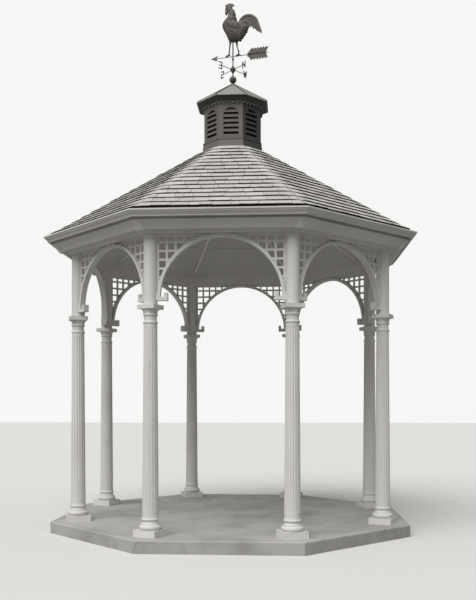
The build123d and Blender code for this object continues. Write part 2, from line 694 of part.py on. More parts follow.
# Finial: ball, rod and the spindle pin that carries the vane
finial_foot = CUPOLA_APEX - FINIAL_SINK
ball_low = BALL_HEIGHT - sqrt(BALL_RADIUS**2 - FINIAL_FOOT_RADIUS**2)
ball_high = BALL_HEIGHT + sqrt(BALL_RADIUS**2 - FINIAL_NECK_RADIUS**2)
ball_neck = xz(FINIAL_NECK_RADIUS, ball_high)
rod_foot = xz(ROD_RADIUS, ball_high + FINIAL_NECK_HEIGHT)
ball_seat = xz(FINIAL_FOOT_RADIUS, ball_low)
finial_edges = [
    *Polyline(xz(0, finial_foot), xz(FINIAL_FOOT_RADIUS, finial_foot), ball_seat).edges(),
    *ThreePointArc(ball_seat, xz(BALL_RADIUS, BALL_HEIGHT), ball_neck).edges(),
    *bowed(ball_neck, rod_foot, -FINIAL_NECK_SAG).edges(),
    *Polyline(
        rod_foot,
        xz(ROD_RADIUS, SPINDLE_TOP),
        xz(PIN_RADIUS, SPINDLE_TOP),
        xz(PIN_RADIUS, PIN_TOP),
        xz(0, PIN_TOP),
        xz(0, finial_foot),
    ).edges(),
]
finial = revolve(Pos(0, 0, DECK) * make_face(finial_edges), Axis.Z)
save(all_round(mitred(sheet_profile) - finial), "cupola_roof")
save(hips - finial, "cupola_hips")
save(finial, "finial")

# Compass points: faceted hub, four arms and their letters
hub_profile = make_face(
    Polyline(
        xz(0, HUB_HEIGHT - HUB_HALF_HEIGHT),
        xz(HUB_TIP_RADIUS, HUB_HEIGHT - HUB_HALF_HEIGHT),
        xz(HUB_RADIUS, HUB_HEIGHT),
        xz(HUB_TIP_RADIUS, HUB_HEIGHT + HUB_HALF_HEIGHT),
        xz(0, HUB_HEIGHT + HUB_HALF_HEIGHT),
        close=True,
    )
)
hub = revolve(Pos(0, 0, DECK) * hub_profile, Axis.Z)


def letter_face(letter):
    """One compass letter made of round-ended strokes, centred on the origin."""
    x = (LETTER_WIDTH - LETTER_STROKE) / 2
    y = (LETTER_HEIGHT - LETTER_STROKE) / 2
    mid = x / 2
    paths = {
        "N": [(-x, -y), (-x, y), (x, -y), (x, y)],
        "E": [(x, y), (-x, y), (-x, 0), (mid, 0), (-x, 0), (-x, -y), (x, -y)],
        "W": [(-x, y), (-mid, -y), (0, y / 2), (mid, -y), (x, y)],
        "S": [(x, y), (-x, y), (-x, 0), (x, 0), (x, -y), (-x, -y)],
    }
    path = paths[letter]
    face = Sketch()
    for start, end in zip(path, path[1:]):
        face += trace(Line(start, end), LETTER_STROKE)
        face += Pos(*start) * Circle(LETTER_STROKE / 2)
        face += Pos(*end) * Circle(LETTER_STROKE / 2)
    return face


def compass_arm(letter, angle):
    """Level rod that ends in an upright letter."""
    rod = Pos(ARM_REACH / 2, 0, 0) * (Rot(0, 90, 0) * Cylinder(ARM_RADIUS, ARM_REACH))
    reach = LETTER_CENTRE + LETTER_WIDTH / 2 - LETTER_STROKE / 2 - ARM_REACH
    stay = Pos(ARM_REACH + reach / 2, 0, 0) * Box(reach + ARM_LAP, LETTER_THICK, LETTER_STAY)
    sign = extrude(Plane.XZ * letter_face(letter), LETTER_THICK / 2, both=True)
    arm = fused([rod, stay, Pos(LETTER_CENTRE, 0, 0) * sign])
    return turned(Pos(0, 0, HUB_HEIGHT + DECK) * arm, angle)


rose = fused([hub] + [compass_arm(letter, angle) for letter, angle in COMPASS.items()])
save(rose - finial, "compass_points")

# Vane tube that turns on the spindle pin
bore_radius = PIN_RADIUS + PIN_CLEARANCE
tube_edges = Polyline(
    xz(bore_radius, TUBE_FOOT),
    xz(TUBE_COLLAR_RADIUS, TUBE_FOOT),
    xz(TUBE_COLLAR_RADIUS, TUBE_FOOT + TUBE_COLLAR_HEIGHT),
    xz(TUBE_RADIUS, TUBE_FOOT + TUBE_COLLAR_HEIGHT + TUBE_COLLAR_BEVEL),
    xz(TUBE_RADIUS, TUBE_TOP),
    xz(0, TUBE_TOP),
    xz(0, PIN_TOP + SEAT_GAP),
    xz(bore_radius, PIN_TOP + SEAT_GAP),
    close=True,
)
save(revolve(Pos(0, 0, DECK) * make_face(tube_edges), Axis.Z), "vane_tube")
tube_space = Pos(0, 0, DECK + (TUBE_FOOT + TUBE_TOP) / 2) * Cylinder(TUBE_RADIUS, TUBE_TOP - TUBE_FOOT)


def vane_plate(face, thick):
    """Upright plate from a face drawn with X towards the tail and Y up from the arrow's shaft."""
    solid = extrude(Plane.XZ * face, thick / 2, both=True)
    return turned(Pos(0, 0, ARROW_HEIGHT + DECK) * solid, VANE_TURN)


# Arrow: point, shaft and feathered tail with toothed edges
head = make_face(Polyline((-326, 0), (-222, 38), (-240, 0), (-222, -38), close=True))
upper_teeth = [(TOOTH_FIRST + TOOTH_PITCH * i, TOOTH_TOP - TOOTH_DEPTH * (i % 2)) for i in range(TOOTH_POINTS)]
lower_teeth = [(x - LOWER_SHIFT, LOWER_RISE - y) for x, y in reversed(upper_teeth)]
upper_edge = [(209, 0), (225, 31), (240, 51), (261, 74), *upper_teeth, (502, 58), (483, 24)]
lower_edge = [(478, 0), (484, -26), (500, -56), *lower_teeth, (254, -70), (240, -51), (225, -27)]
fletch = make_face(Polyline(*upper_edge, *lower_edge, close=True))
shaft = Rot(0, 90, 0) * Cylinder(ARROW_RADIUS, ARROW_LENGTH)
shaft = turned(Pos(ARROW_LENGTH / 2 - ARROW_FRONT, 0, ARROW_HEIGHT + DECK) * shaft, VANE_TURN)
arrow = fused([vane_plate(head, PLATE_THICK), vane_plate(fletch, PLATE_THICK), shaft])
save(arrow - tube_space, "vane_arrow")


# Rooster: full body with a flat tail, comb and legs
def closed_spline(*points):
    """Face inside a smooth closed curve."""
    return make_face(Spline(*points, periodic=True))


torso = closed_spline(
    (41, 604), (60, 503), (76, 448), (126, 412), (184, 362), (210, 315), (170, 262), (116, 214),
    (36, 208), (-12, 212), (-53, 240), (-99, 330), (-138, 410), (-142, 462), (-95, 528), (-57, 576),
    (-66, 640), (-80, 682), (-40, 702), (10, 680),
)
tail = closed_spline(
    (90, 420), (78, 460), (100, 502), (170, 558), (235, 570), (314, 525), (358, 454),
    (378, 375), (402, 306), (428, 272), (386, 286), (347, 334), (322, 330), (292, 372),
    (250, 366), (205, 330), (140, 350),
)
comb = make_face(
    Polyline((-95, 700), (-92, 735), (-70, 748), (-41, 752), (3, 732), (32, 691), (-7, 680), close=True)
)
beak = make_face(Polyline((-108, 682), (-78, 700), (-74, 664), close=True))
wattle = make_face(
    Polyline((-84, 672), (-52, 600), (-72, 602), (-88, 590), (-98, 604), (-94, 640), close=True)
)
front_leg = make_face(
    Polyline(
        (-47, 239), (-50, 142), (-54, 72), (-66, 39), (-95, 8), (-95, 2), (3, 2), (-38, 42),
        (-34, 84), (-26, 139), (-9, 226), close=True,
    )
)
back_leg = make_face(
    Polyline(
        (30, 226), (66, 113), (79, 52), (68, 29), (44, 2), (134, 2), (134, 8), (102, 38),
        (93, 81), (79, 139), (79, 226), close=True,
    )
)
outline = torso + tail + comb + beak + wattle + front_leg + back_leg
rooster = vane_plate(outline, ROOSTER_THICK)


def egg(x, z, half_length, half_width, half_height, lean):
    """Ellipsoid in the vane's frame."""
    body = scale(Sphere(1), by=(half_length, half_width, half_height))
    placed = Pos(x, 0, ARROW_HEIGHT + DECK + z) * (Rot(0, lean, 0) * body)
    return turned(placed, VANE_TURN)


rooster += egg(10, 340, 150, 68, 112, 28)
rooster += egg(-20, 520, 62, 42, 150, -12)
rooster += egg(-42, 672, 46, 34, 36, 0)
rooster += egg(140, 330, 90, 38, 52, 35)
rooster = rooster - tube_space - shaft
save(rooster, "rooster")
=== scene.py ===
"""Looks of an octagonal garden gazebo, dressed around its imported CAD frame.

Lengths are metres, +Z is up, and the origin is the centre of the floor slab's underside. Bay 1 faces -Y.
"""
import logging
import math
from dataclasses import dataclass, field
from enum import Enum
from typing import Sequence

import bpy
import numpy as np
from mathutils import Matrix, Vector


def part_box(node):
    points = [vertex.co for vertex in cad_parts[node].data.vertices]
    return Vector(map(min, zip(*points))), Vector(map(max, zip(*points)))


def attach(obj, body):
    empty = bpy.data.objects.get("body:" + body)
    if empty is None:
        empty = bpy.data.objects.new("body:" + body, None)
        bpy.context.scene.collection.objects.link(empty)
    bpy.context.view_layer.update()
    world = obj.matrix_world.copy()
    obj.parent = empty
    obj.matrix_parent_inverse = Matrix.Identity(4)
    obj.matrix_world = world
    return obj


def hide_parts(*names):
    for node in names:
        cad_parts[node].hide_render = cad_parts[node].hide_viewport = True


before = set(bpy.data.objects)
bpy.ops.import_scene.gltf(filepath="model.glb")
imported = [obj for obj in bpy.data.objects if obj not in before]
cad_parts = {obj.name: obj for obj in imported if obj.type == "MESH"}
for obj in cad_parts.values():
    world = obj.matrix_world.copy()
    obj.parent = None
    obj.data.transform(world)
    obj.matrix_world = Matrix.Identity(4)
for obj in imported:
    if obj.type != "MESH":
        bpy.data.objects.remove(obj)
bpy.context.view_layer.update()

logging.basicConfig(level=logging.INFO, format="%(message)s")
log = logging.getLogger("gazebo")

SIDES = 8
HALF_TURN = math.tan(math.pi / SIDES)
DECK = 0.150


def bay_angle(index: int) -> float:
    """Direction of the middle of a bay, in radians."""
    return math.radians(-90 + 45 * index)


# Shader arithmetic


class Signal:
    """A shader socket that takes part in Python arithmetic."""

    def __init__(self, paint: "Paint", socket: bpy.types.NodeSocket) -> None:
        """Keeps the material that the socket belongs to."""
        self.paint = paint
        self.socket = socket

    def _math(self, operation: str, *values: "Signal | float") -> "Signal":
        """One Math node on this signal and other values."""
        return self.paint.node("ShaderNodeMath", {"operation": operation}, dict(enumerate(values)))

    def __add__(self, other: "Signal | float") -> "Signal":
        """Sum."""
        return self._math("ADD", self, other)

    __radd__ = __add__

    def __sub__(self, other: "Signal | float") -> "Signal":
        """Difference."""
        return self._math("SUBTRACT", self, other)

    def __rsub__(self, other: float) -> "Signal":
        """Difference from a number."""
        return self._math("SUBTRACT", other, self)

    def __mul__(self, other: "Signal | float") -> "Signal":
        """Product."""
        return self._math("MULTIPLY", self, other)

    __rmul__ = __mul__

    def __truediv__(self, other: "Signal | float") -> "Signal":
        """Quotient."""
        return self._math("DIVIDE", self, other)

    def power(self, exponent: float) -> "Signal":
        """The signal raised to a power."""
        return self._math("POWER", self, exponent)

    def fract(self) -> "Signal":
        """What is left after the whole number."""
        return self._math("FRACT", self)

    def ramp(self, low: float, high: float) -> "Signal":
        """Smooth step from 0 at low to 1 at high."""
        settings = {"interpolation_type": "SMOOTHSTEP"}
        return self.paint.node("ShaderNodeMapRange", settings, {"Value": self, "From Min": low, "From Max": high})


class Paint:
    """A material whose nodes are laid out by method calls."""

    def __init__(self, name: str) -> None:
        """Makes an empty material with one Principled shader.

        Args:
            name: Name of the material.
        """
        self.material = bpy.data.materials.new(name)
        self.material.use_nodes = True
        self.tree = self.material.node_tree
        self.shader = self.tree.nodes["Principled BSDF"]

    def node(self, kind: str, settings: dict, sockets: dict, output: int | str = 0) -> Signal:
        """Adds a node, sets its options first and then its sockets.

        Args:
            kind: Type of the node.
            settings: Option names and values; "stops" fills a colour ramp.
            sockets: Socket names or numbers, with a number, a tuple or a Signal for each.
            output: Socket that the result is read from.

        Returns:
            The chosen output as a Signal.
        """
        node = self.tree.nodes.new(kind)
        for key, value in settings.items():
            setattr(node, key, value)
        for key, value in sockets.items():
            if isinstance(value, Signal):
                self.tree.links.new(value.socket, node.inputs[key])
            else:
                node.inputs[key].default_value = value
        return Signal(self, node.outputs[output])

    def place(self) -> Signal:
        """Object coordinates of the piece, in metres."""
        return self.node("ShaderNodeTexCoord", {}, {}, "Object")

    def attribute(self, name: str) -> Signal:
        """A number kept on the mesh."""
        return self.node("ShaderNodeAttribute", {"attribute_name": name}, {}, "Fac")

    def uv(self, name: str = "surface") -> Signal:
        """The piece's own surface map, in metres."""
        return self.node("ShaderNodeUVMap", {"uv_map": name}, {})

    def stretch(self, vector: Signal, scale: Sequence[float]) -> Signal:
        """Coordinates multiplied along each axis."""
        return self.node("ShaderNodeMapping", {}, {"Vector": vector, "Scale": tuple(scale)})

    def noise(self, vector: Signal, scale: float, detail: float = 3.0, roughness: float = 0.55) -> Signal:
        """Cloudy noise from 0 to 1."""
        sockets = {"Vector": vector, "Scale": scale, "Detail": detail, "Roughness": roughness}
        return self.node("ShaderNodeTexNoise", {}, sockets)

    def cells(self, vector: Signal, scale: float, feature: str = "F1") -> Signal:
        """Distance in a pattern of cells."""
        sockets = {"Vector": vector, "Scale": scale}
        return self.node("ShaderNodeTexVoronoi", {"feature": feature}, sockets, "Distance")

    def axis(self, vector: Signal, name: str) -> Signal:
        """One part of a vector: X, Y or Z."""
        return self.node("ShaderNodeSeparateXYZ", {}, {"Vector": vector}, name)

    def blend(self, mask: Signal, under: "Signal | tuple", over: "Signal | tuple") -> Signal:
        """Colour that goes from under to over as the mask goes from 0 to 1."""
        settings = {"data_type": "RGBA"}
        under = under if isinstance(under, Signal) else (*under, 1.0)
        over = over if isinstance(over, Signal) else (*over, 1.0)
        return self.node("ShaderNodeMix", settings, {0: mask, 6: under, 7: over}, 2)

    def finish(self, colour: Signal, roughness: "Signal | float", height: Signal | None, relief: float,
               **fixed: float) -> bpy.types.Material:
        """Joins the signals to the shader.

        Args:
            colour: Base colour.
            roughness: Roughness, a signal or a number.
            height: Height of the fine relief in metres times relief, or None.
            relief: Distance that a height of 1 stands for, in metres.
            fixed: Other shader sockets that are the same all over.

        Returns:
            The finished material.
        """
        links = self.tree.links
        links.new(colour.socket, self.shader.inputs["Base Color"])
        if isinstance(roughness, Signal):
            links.new(roughness.socket, self.shader.inputs["Roughness"])
        else:
            self.shader.inputs["Roughness"].default_value = roughness
        if height is not None:
            bump = self.node("ShaderNodeBump", {}, {"Height": height, "Distance": relief, "Strength": 1.0})
            links.new(bump.socket, self.shader.inputs["Normal"])
        for name, value in fixed.items():
            self.shader.inputs[name.replace("_", " ").title().replace("Ior", "IOR")].default_value = value
        return self.material


# Finishes


@dataclass(frozen=True)
class BrushedPaint:
    """Oil paint brushed on wood, with dust and fine wear, and optional painted shade."""

    name: str
    colour: tuple[float, float, float]
    dust: tuple[float, float, float]
    dust_amount: float = 0.35
    grain: tuple[float, float, float] = (60.0, 60.0, 4.0)
    gloss: float = 0.45
    shadow_band: tuple[float, float] | None = None
    right_side_shade: tuple[float, float, float] | None = None

    def build(self) -> bpy.types.Material:
        """Brush marks and cloudy dust; also a painted shadow band between two heights and painted shade on the right
        side if given.
        """
        paint = Paint(self.name)
        place = paint.place()
        brush = paint.noise(paint.stretch(place, self.grain), 1.0, 4.0, 0.6)
        cloud = paint.noise(place, 2.2, 5.0, 0.6)
        fine = paint.noise(place, 38.0, 3.0, 0.6)
        streak = paint.noise(paint.stretch(place, (9.0, 9.0, 0.8)), 1.0, 4.0, 0.62)
        dirt = cloud.ramp(0.42, 0.72) * 0.5 + streak.ramp(0.5, 0.78) * 0.6 + fine.ramp(0.55, 0.8) * 0.25
        dirt = dirt * self.dust_amount
        tone = paint.blend(dirt, self.colour, self.dust)
        tone = paint.blend((1 - brush.ramp(0.25, 0.6)) * 0.10, tone, self.dust)
        # Painted shadow: a dark band between two heights, standing for the shade in a recess.
        if self.shadow_band:
            low, high = self.shadow_band
            level = paint.axis(place, "Z")
            band = level.ramp(low - 0.002, low + 0.003) * (1 - level.ramp(high - 0.003, high + 0.002))
            tone = paint.blend(band * (0.35 + cloud * 0.5), tone, (0.10, 0.092, 0.085))
        # Painted shade: faces to the right of a plane through the axis are darkened, as if turned away from the light.
        if self.right_side_shade:
            away = (paint.axis(place, "X") + paint.axis(place, "Y") * HALF_TURN).ramp(0.0, 0.008)
            tone = paint.blend(away * (0.55 + cloud * 0.4), tone, self.right_side_shade)
        rough = brush * 0.15 + dirt * 0.4 + self.gloss
        return paint.finish(tone, rough, brush * 0.7 + fine * 0.3, 0.0012)


@dataclass(frozen=True)
class CedarShingle:
    """Weathered sawn shingles: each its own tone, with grain down the slope."""

    name: str = "cedar_shingle"
    pale: tuple[float, float, float] = (0.64, 0.625, 0.60)
    mid: tuple[float, float, float] = (0.50, 0.48, 0.455)
    dark: tuple[float, float, float] = (0.20, 0.185, 0.17)
    # Butt colour is partly end grain and partly painted shade; shade is the painted shadow on the first course's butts.
    butt: tuple[float, float, float] = (0.030, 0.027, 0.024)
    shade: tuple[float, float, float] = (0.008, 0.007, 0.006)

    def build(self) -> bpy.types.Material:
        """Grain, sun bleaching, painted shade under each next course, and butt ends darkened partly as end grain and
        partly as painted shade, read from the piece's own map and values.
        """
        paint = Paint(self.name)
        uv = paint.uv()
        tone = paint.attribute("tone")
        along = paint.attribute("along")
        end_grain_and_shade = paint.attribute("end_grain_and_shade")
        grain = paint.noise(paint.stretch(uv, (190.0, 7.0, 1.0)), 1.0, 4.0, 0.65)
        wide = paint.noise(paint.stretch(uv, (34.0, 3.0, 1.0)), 1.0, 3.0, 0.55)
        stain = paint.noise(uv, 1.7, 4.0, 0.6)
        base = paint.blend(tone.ramp(0.0, 1.0), self.mid, self.pale)
        base = paint.blend((1 - grain.ramp(0.28, 0.62)) * 0.42, base, self.dark)
        base = paint.blend((1 - wide.ramp(0.3, 0.6)) * 0.18, base, self.mid)
        base = paint.blend(stain.ramp(0.5, 0.8) * 0.25, base, self.dark)
        # Painted shade: the top of each exposed face, just under the next course's butt, is darkened.
        base = paint.blend(along.ramp(0.86, 1.0) * 0.25, base, self.dark)
        # Butt ends darkened partly as end grain and partly as painted shade, darkest on the first course as painted
        # shadow in the eave gap.
        base = paint.blend(end_grain_and_shade, base, paint.blend(paint.attribute("eave"), self.butt, self.shade))
        return paint.finish(base, grain * 0.2 + 0.78, grain * 0.7 + wide * 0.5, 0.0025, specular_ior_level=0.15)


@dataclass(frozen=True)
class RoughBoard:
    """Unpainted sawn boards, dark with age."""

    name: str = "sheathing_board"
    colour: tuple[float, float, float] = (0.060, 0.053, 0.047)
    worn: tuple[float, float, float] = (0.12, 0.108, 0.096)

    def build(self) -> bpy.types.Material:
        """Saw marks and grain in two sizes."""
        paint = Paint(self.name)
        place = paint.place()
        grain = paint.noise(paint.stretch(place, (30.0, 30.0, 90.0)), 1.0, 4.0, 0.6)
        cloud = paint.noise(place, 5.0, 4.0, 0.6)
        tone = paint.blend(grain.ramp(0.35, 0.7) * 0.6 + cloud.ramp(0.4, 0.7) * 0.4, self.colour, self.worn)
        return paint.finish(tone, 0.85, grain, 0.002)


@dataclass(frozen=True)
class SheetMetal:
    """Rolled or beaten metal, dull with age."""

    name: str
    colour: tuple[float, float, float]
    stain: tuple[float, float, float]
    metal: float
    roughness: float
    mottle: float = 14.0
    relief: float = 0.002

    def build(self) -> bpy.types.Material:
        """Mottled oxide, rain streaks and shallow dents."""
        paint = Paint(self.name)
        place = paint.place()
        mottle = paint.noise(place, self.mottle, 5.0, 0.65)
        streak = paint.noise(paint.stretch(place, (40.0, 40.0, 3.0)), 1.0, 4.0, 0.6)
        speck = paint.cells(place, self.mottle * 9)
        mask = mottle.ramp(0.38, 0.68) * 0.7 + streak.ramp(0.5, 0.75) * 0.3
        tone = paint.blend(mask, self.colour, self.stain)
        tone = paint.blend((1 - speck.ramp(0.05, 0.35)) * 0.3, tone, self.stain)
        rough = mask * 0.2 + self.roughness
        return paint.finish(tone, rough, mottle + speck * 0.25, self.relief, metallic=self.metal)


@dataclass(frozen=True)
class CastStone:
    """Floated concrete with fine aggregate, stains and hairline cracks."""

    name: str = "floor_concrete"
    colour: tuple[float, float, float] = (0.46, 0.45, 0.435)
    stain: tuple[float, float, float] = (0.25, 0.24, 0.23)

    def build(self) -> bpy.types.Material:
        """Sand, pits, worn patches and cracks."""
        paint = Paint(self.name)
        place = paint.place()
        sand = paint.noise(place, 160.0, 2.0, 0.7)
        patch = paint.noise(place, 1.6, 6.0, 0.62)
        pits = paint.cells(place, 75.0)
        warp = paint.noise(place, 3.0, 3.0, 0.6)
        bent = paint.node("ShaderNodeVectorMath", {"operation": "MULTIPLY_ADD"},
                          {0: paint.node("ShaderNodeTexNoise", {}, {"Vector": place, "Scale": 2.5}, "Color"),
                           1: (0.35, 0.35, 0.35), 2: place})
        cracks = paint.cells(bent, 0.75, "DISTANCE_TO_EDGE")
        crack = 1 - cracks.ramp(0.0, 0.004)
        tone = paint.blend(patch.ramp(0.4, 0.7) * 0.55 + warp.ramp(0.5, 0.8) * 0.2, self.colour, self.stain)
        tone = paint.blend((1 - sand.ramp(0.3, 0.6)) * 0.25, tone, self.stain)
        tone = paint.blend(crack * 0.45, tone, (0.12, 0.112, 0.105))
        height = sand * 0.5 + pits.ramp(0.0, 0.25) * 0.5 - crack * 0.5
        return paint.finish(tone, patch * 0.15 + 0.75, height, 0.0015)


# Meshes


def mesh_piece(name: str, points: np.ndarray, faces: Sequence, material: bpy.types.Material, body: str,
               smooth: bool = False) -> bpy.types.Object:
    """Makes a piece of the object that rides on one body.

    Args:
        name: Name of the piece.
        points: Array of vertices, in metres.
        faces: Vertex numbers of each face.
        material: Finish of the piece.
        body: CAD body that it moves with.
        smooth: True for soft shading across faces.

    Returns:
        The new object, at the origin.
    """
    mesh = bpy.data.meshes.new(name)
    mesh.from_pydata(np.asarray(points, float).reshape(-1, 3).tolist(), [], np.asarray(faces).tolist()
                     if isinstance(faces, np.ndarray) else faces)
    mesh.polygons.foreach_set("use_smooth", np.full(len(mesh.polygons), smooth))
    mesh.update()
    piece = bpy.data.objects.new(name, mesh)
    bpy.context.scene.collection.objects.link(piece)
    mesh.materials.append(material)
    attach(piece, body)
    log.info("%s: %d vertices, %d faces", name, len(mesh.vertices), len(mesh.polygons))
    return piece


def set_point_values(piece: bpy.types.Object, name: str, values: np.ndarray) -> None:
    """Keeps one number per vertex on the mesh."""
    layer = piece.data.attributes.new(name, "FLOAT", "POINT")
    layer.data.foreach_set("value", np.asarray(values, np.float32).ravel())


def set_face_values(piece: bpy.types.Object, name: str, values: np.ndarray) -> None:
    """Keeps one number per face on the mesh."""
    layer = piece.data.attributes.new(name, "FLOAT", "FACE")
    layer.data.foreach_set("value", np.asarray(values, np.float32).ravel())


def set_uv(piece: bpy.types.Object, coordinates: np.ndarray) -> None:
    """Keeps a surface map, given per vertex, on the mesh."""
    layer = piece.data.uv_layers.new(name="surface")
    corners = np.empty(len(piece.data.loops), np.int32)
    piece.data.loops.foreach_get("vertex_index", corners)
    layer.data.foreach_set("uv", np.asarray(coordinates, np.float32)[corners].ravel())


def turned(flat: np.ndarray, lateral: np.ndarray, height: np.ndarray, angle: float) -> np.ndarray:
    """Points of one side of the octagon: flat x outwards + lateral x sideways, at a height."""
    x = flat * math.cos(angle) - lateral * math.sin(angle)
    y = flat * math.sin(angle) + lateral * math.cos(angle)
    return np.stack([x, y, np.broadcast_to(height, x.shape)], axis=-1)


@dataclass
class ShingleRoof:
    """Courses of sawn shingles on the eight slopes, mitred at the hips."""

    finish: bpy.types.Material
    eave_flat: float = 2.291
    eave_thick: float = 0.011
    first_exposure: float = 0.1180
    exposure: float = 0.1163
    courses: int = 16
    overlap: float = 0.030
    board_thick: float = 0.026
    slope: float = 0.681
    butt: float = 0.0180
    starter: float = 0.0060
    widths: tuple[float, float] = (0.095, 0.250)
    gap: float = 0.0035
    hip_gap: float = 0.004
    hip_ease: float = 0.65
    seed: int = 7
    across: int = 4

    def __post_init__(self) -> None:
        """Reads the roof boards' edge from the frame."""
        low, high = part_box("roof")
        self.edge_flat = high.x
        self.edge_height = low.z + self.board_thick

    def butt_flat(self, course: np.ndarray) -> np.ndarray:
        """Flat of a course's butts: the eave, and from the second course on an even step."""
        return np.where(course > 0, self.eave_flat - self.first_exposure - self.exposure * (course - 1), self.eave_flat)

    def widths_of(self, course: int, rng: np.random.Generator) -> np.ndarray:
        """Edges of the shingles of one course, from -half to +half at its butts.

        Args:
            course: Number of the course, from the eave.
            rng: Source of the random widths.

        Returns:
            Sorted places of the joints, the two hips included.
        """
        half = float(self.butt_flat(np.array(course))) * HALF_TURN
        room = 2 * half
        count = max(2, int(round(room / 0.172)))
        steps = rng.uniform(*self.widths, count)
        places = np.concatenate([[0.0], np.cumsum(steps / steps.sum() * room)]) - half
        return places

    def build(self) -> bpy.types.Object:
        """Lays every shingle as a tapered board.

        Its section runs along the slope: up the butt, over a rounded edge, along the face to the tip
        under the next course, and back along the deck. Each station across the board repeats the
        section, and its side edges stop at the hip where the mitre cuts them.

        Returns:
            The piece.
        """
        rng = np.random.default_rng(self.seed)
        fall = math.sqrt(1 + self.slope ** 2)
        along_unit = np.array([-1 / fall, self.slope / fall])
        normal_unit = np.array([self.slope / fall, 1 / fall])
        rows = []
        for side in range(SIDES):
            for course in range(self.courses):
                edges = self.widths_of(course, rng)
                left, right = edges[:-1], edges[1:]
                rows.append(np.column_stack([
                    np.full(len(left), side), np.full(len(left), course), left, right,
                    np.arange(len(left)) == 0, np.arange(len(left)) == len(left) - 1,
                ]))
        table = np.concatenate(rows)
        count = len(table)
        side, course, left, right, first, last = table.T
        length = np.where(course > 0, self.exposure, self.first_exposure) * fall + self.overlap
        thick = self.butt + self.starter * (course == 0) + rng.uniform(-0.002, 0.002, count)
        shift = rng.normal(0, 0.0022, count).clip(-0.005, 0.005)
        skew = rng.normal(0, 0.0014, count)
        curl = rng.uniform(-0.0012, 0.0030, count)
        tone = rng.beta(2.4, 1.9, count)
        # Section points: distance along the slope and height over the deck, as shares of each board
        share = np.array([0.0, 0.0, 0.0, 0.30, 0.65, 1.0, 1.0])
        edge = np.array([0.0, 0.0, 0.0025, 0.0, 0.0, 0.0, 0.0])
        rise = np.array([0.0, 0.88, 1.0, 0.72, 0.34, 0.04, 0.0])
        run = share[None, :] * length[:, None] + edge[None, :]
        stations = np.linspace(0, 1, self.across)
        s = run[:, None, :] + (shift[:, None] + skew[:, None] * (stations - 0.5))[:, :, None]
        bow = 1 + (curl / thick)[:, None] * (4 * (stations - 0.5) ** 2)
        # The boards are planed thinner towards a hip, so that the hips run straight
        ease = self.hip_ease * np.where(course == 0, 0.3, 1.0)[:, None]
        bow = bow * (1 - ease * (first[:, None] * (1 - stations) ** 2 + last[:, None] * stations ** 2))
        h = rise[None, None, :] * thick[:, None, None] * bow[:, :, None] + 0.0008
        h = np.broadcast_to(h, (count, self.across, len(share))).copy()
        h[:, :, 0] = np.where(course == 0, -self.eave_thick, 0.0008)[:, None]
        h[:, :, -1] = 0.0008
        eave = self.butt_flat(course)
        flat = eave[:, None, None] + along_unit[0] * s + normal_unit[0] * h
        height = (self.edge_height + self.slope * (self.edge_flat - eave))[:, None, None]
        height = height + along_unit[1] * s + normal_unit[1] * h
        # Sides: straight up the slope, or along the hip's mitre for the two end boards
        limit = flat * HALF_TURN - self.hip_gap
        low = np.where(first[:, None, None] > 0, -limit, np.maximum(left[:, None, None] + self.gap / 2, -limit))
        high = np.where(last[:, None, None] > 0, limit, np.minimum(right[:, None, None] - self.gap / 2, limit))
        high = np.maximum(high, low + 0.004)
        lateral = low + (high - low) * stations[None, :, None]
        angle = np.radians(-90 + 45 * side)[:, None, None]
        x = flat * np.cos(angle) - lateral * np.sin(angle)
        y = flat * np.sin(angle) + lateral * np.cos(angle)
        points = np.stack([x, y, np.broadcast_to(height, x.shape)], axis=-1)
        # Faces: the section's loop between neighbouring stations, and two end caps
        size = len(share)
        index = np.arange(self.across * size).reshape(self.across, size)
        quads = [[index[i, j], index[i + 1, j], index[i + 1, (j + 1) % size], index[i, (j + 1) % size]]
                 for i in range(self.across - 1) for j in range(size)]
        caps = [index[0].tolist(), index[-1, ::-1].tolist()]
        block = self.across * size
        faces = [[int(v) + n * block for v in face] for n in range(count) for face in quads + caps]
        piece = mesh_piece("roof_shingles", points, faces, self.finish, "gazebo")
        across_map = lateral + side[:, None, None] * 7.3 + course[:, None, None] * 1.7
        along_map = np.broadcast_to(s + course[:, None, None] * 3.1, x.shape)
        set_uv(piece, np.stack([across_map, along_map], axis=-1).reshape(-1, 2))
        set_point_values(piece, "along", np.broadcast_to(s / (self.exposure * fall), x.shape))
        set_point_values(piece, "tone", np.broadcast_to(tone[:, None, None], x.shape))
        # Faces that get the darkened butt colour: partly end grain, partly painted shade.
        dark = np.array([1.0, 0.6] + [0.0] * (size - 2))
        board = np.concatenate([np.tile(dark, self.across - 1), [1.0, 1.0]])
        set_face_values(piece, "end_grain_and_shade", board * np.ones((count, 1)))
        set_face_values(piece, "eave", np.repeat(course == 0, len(board)))
        return piece


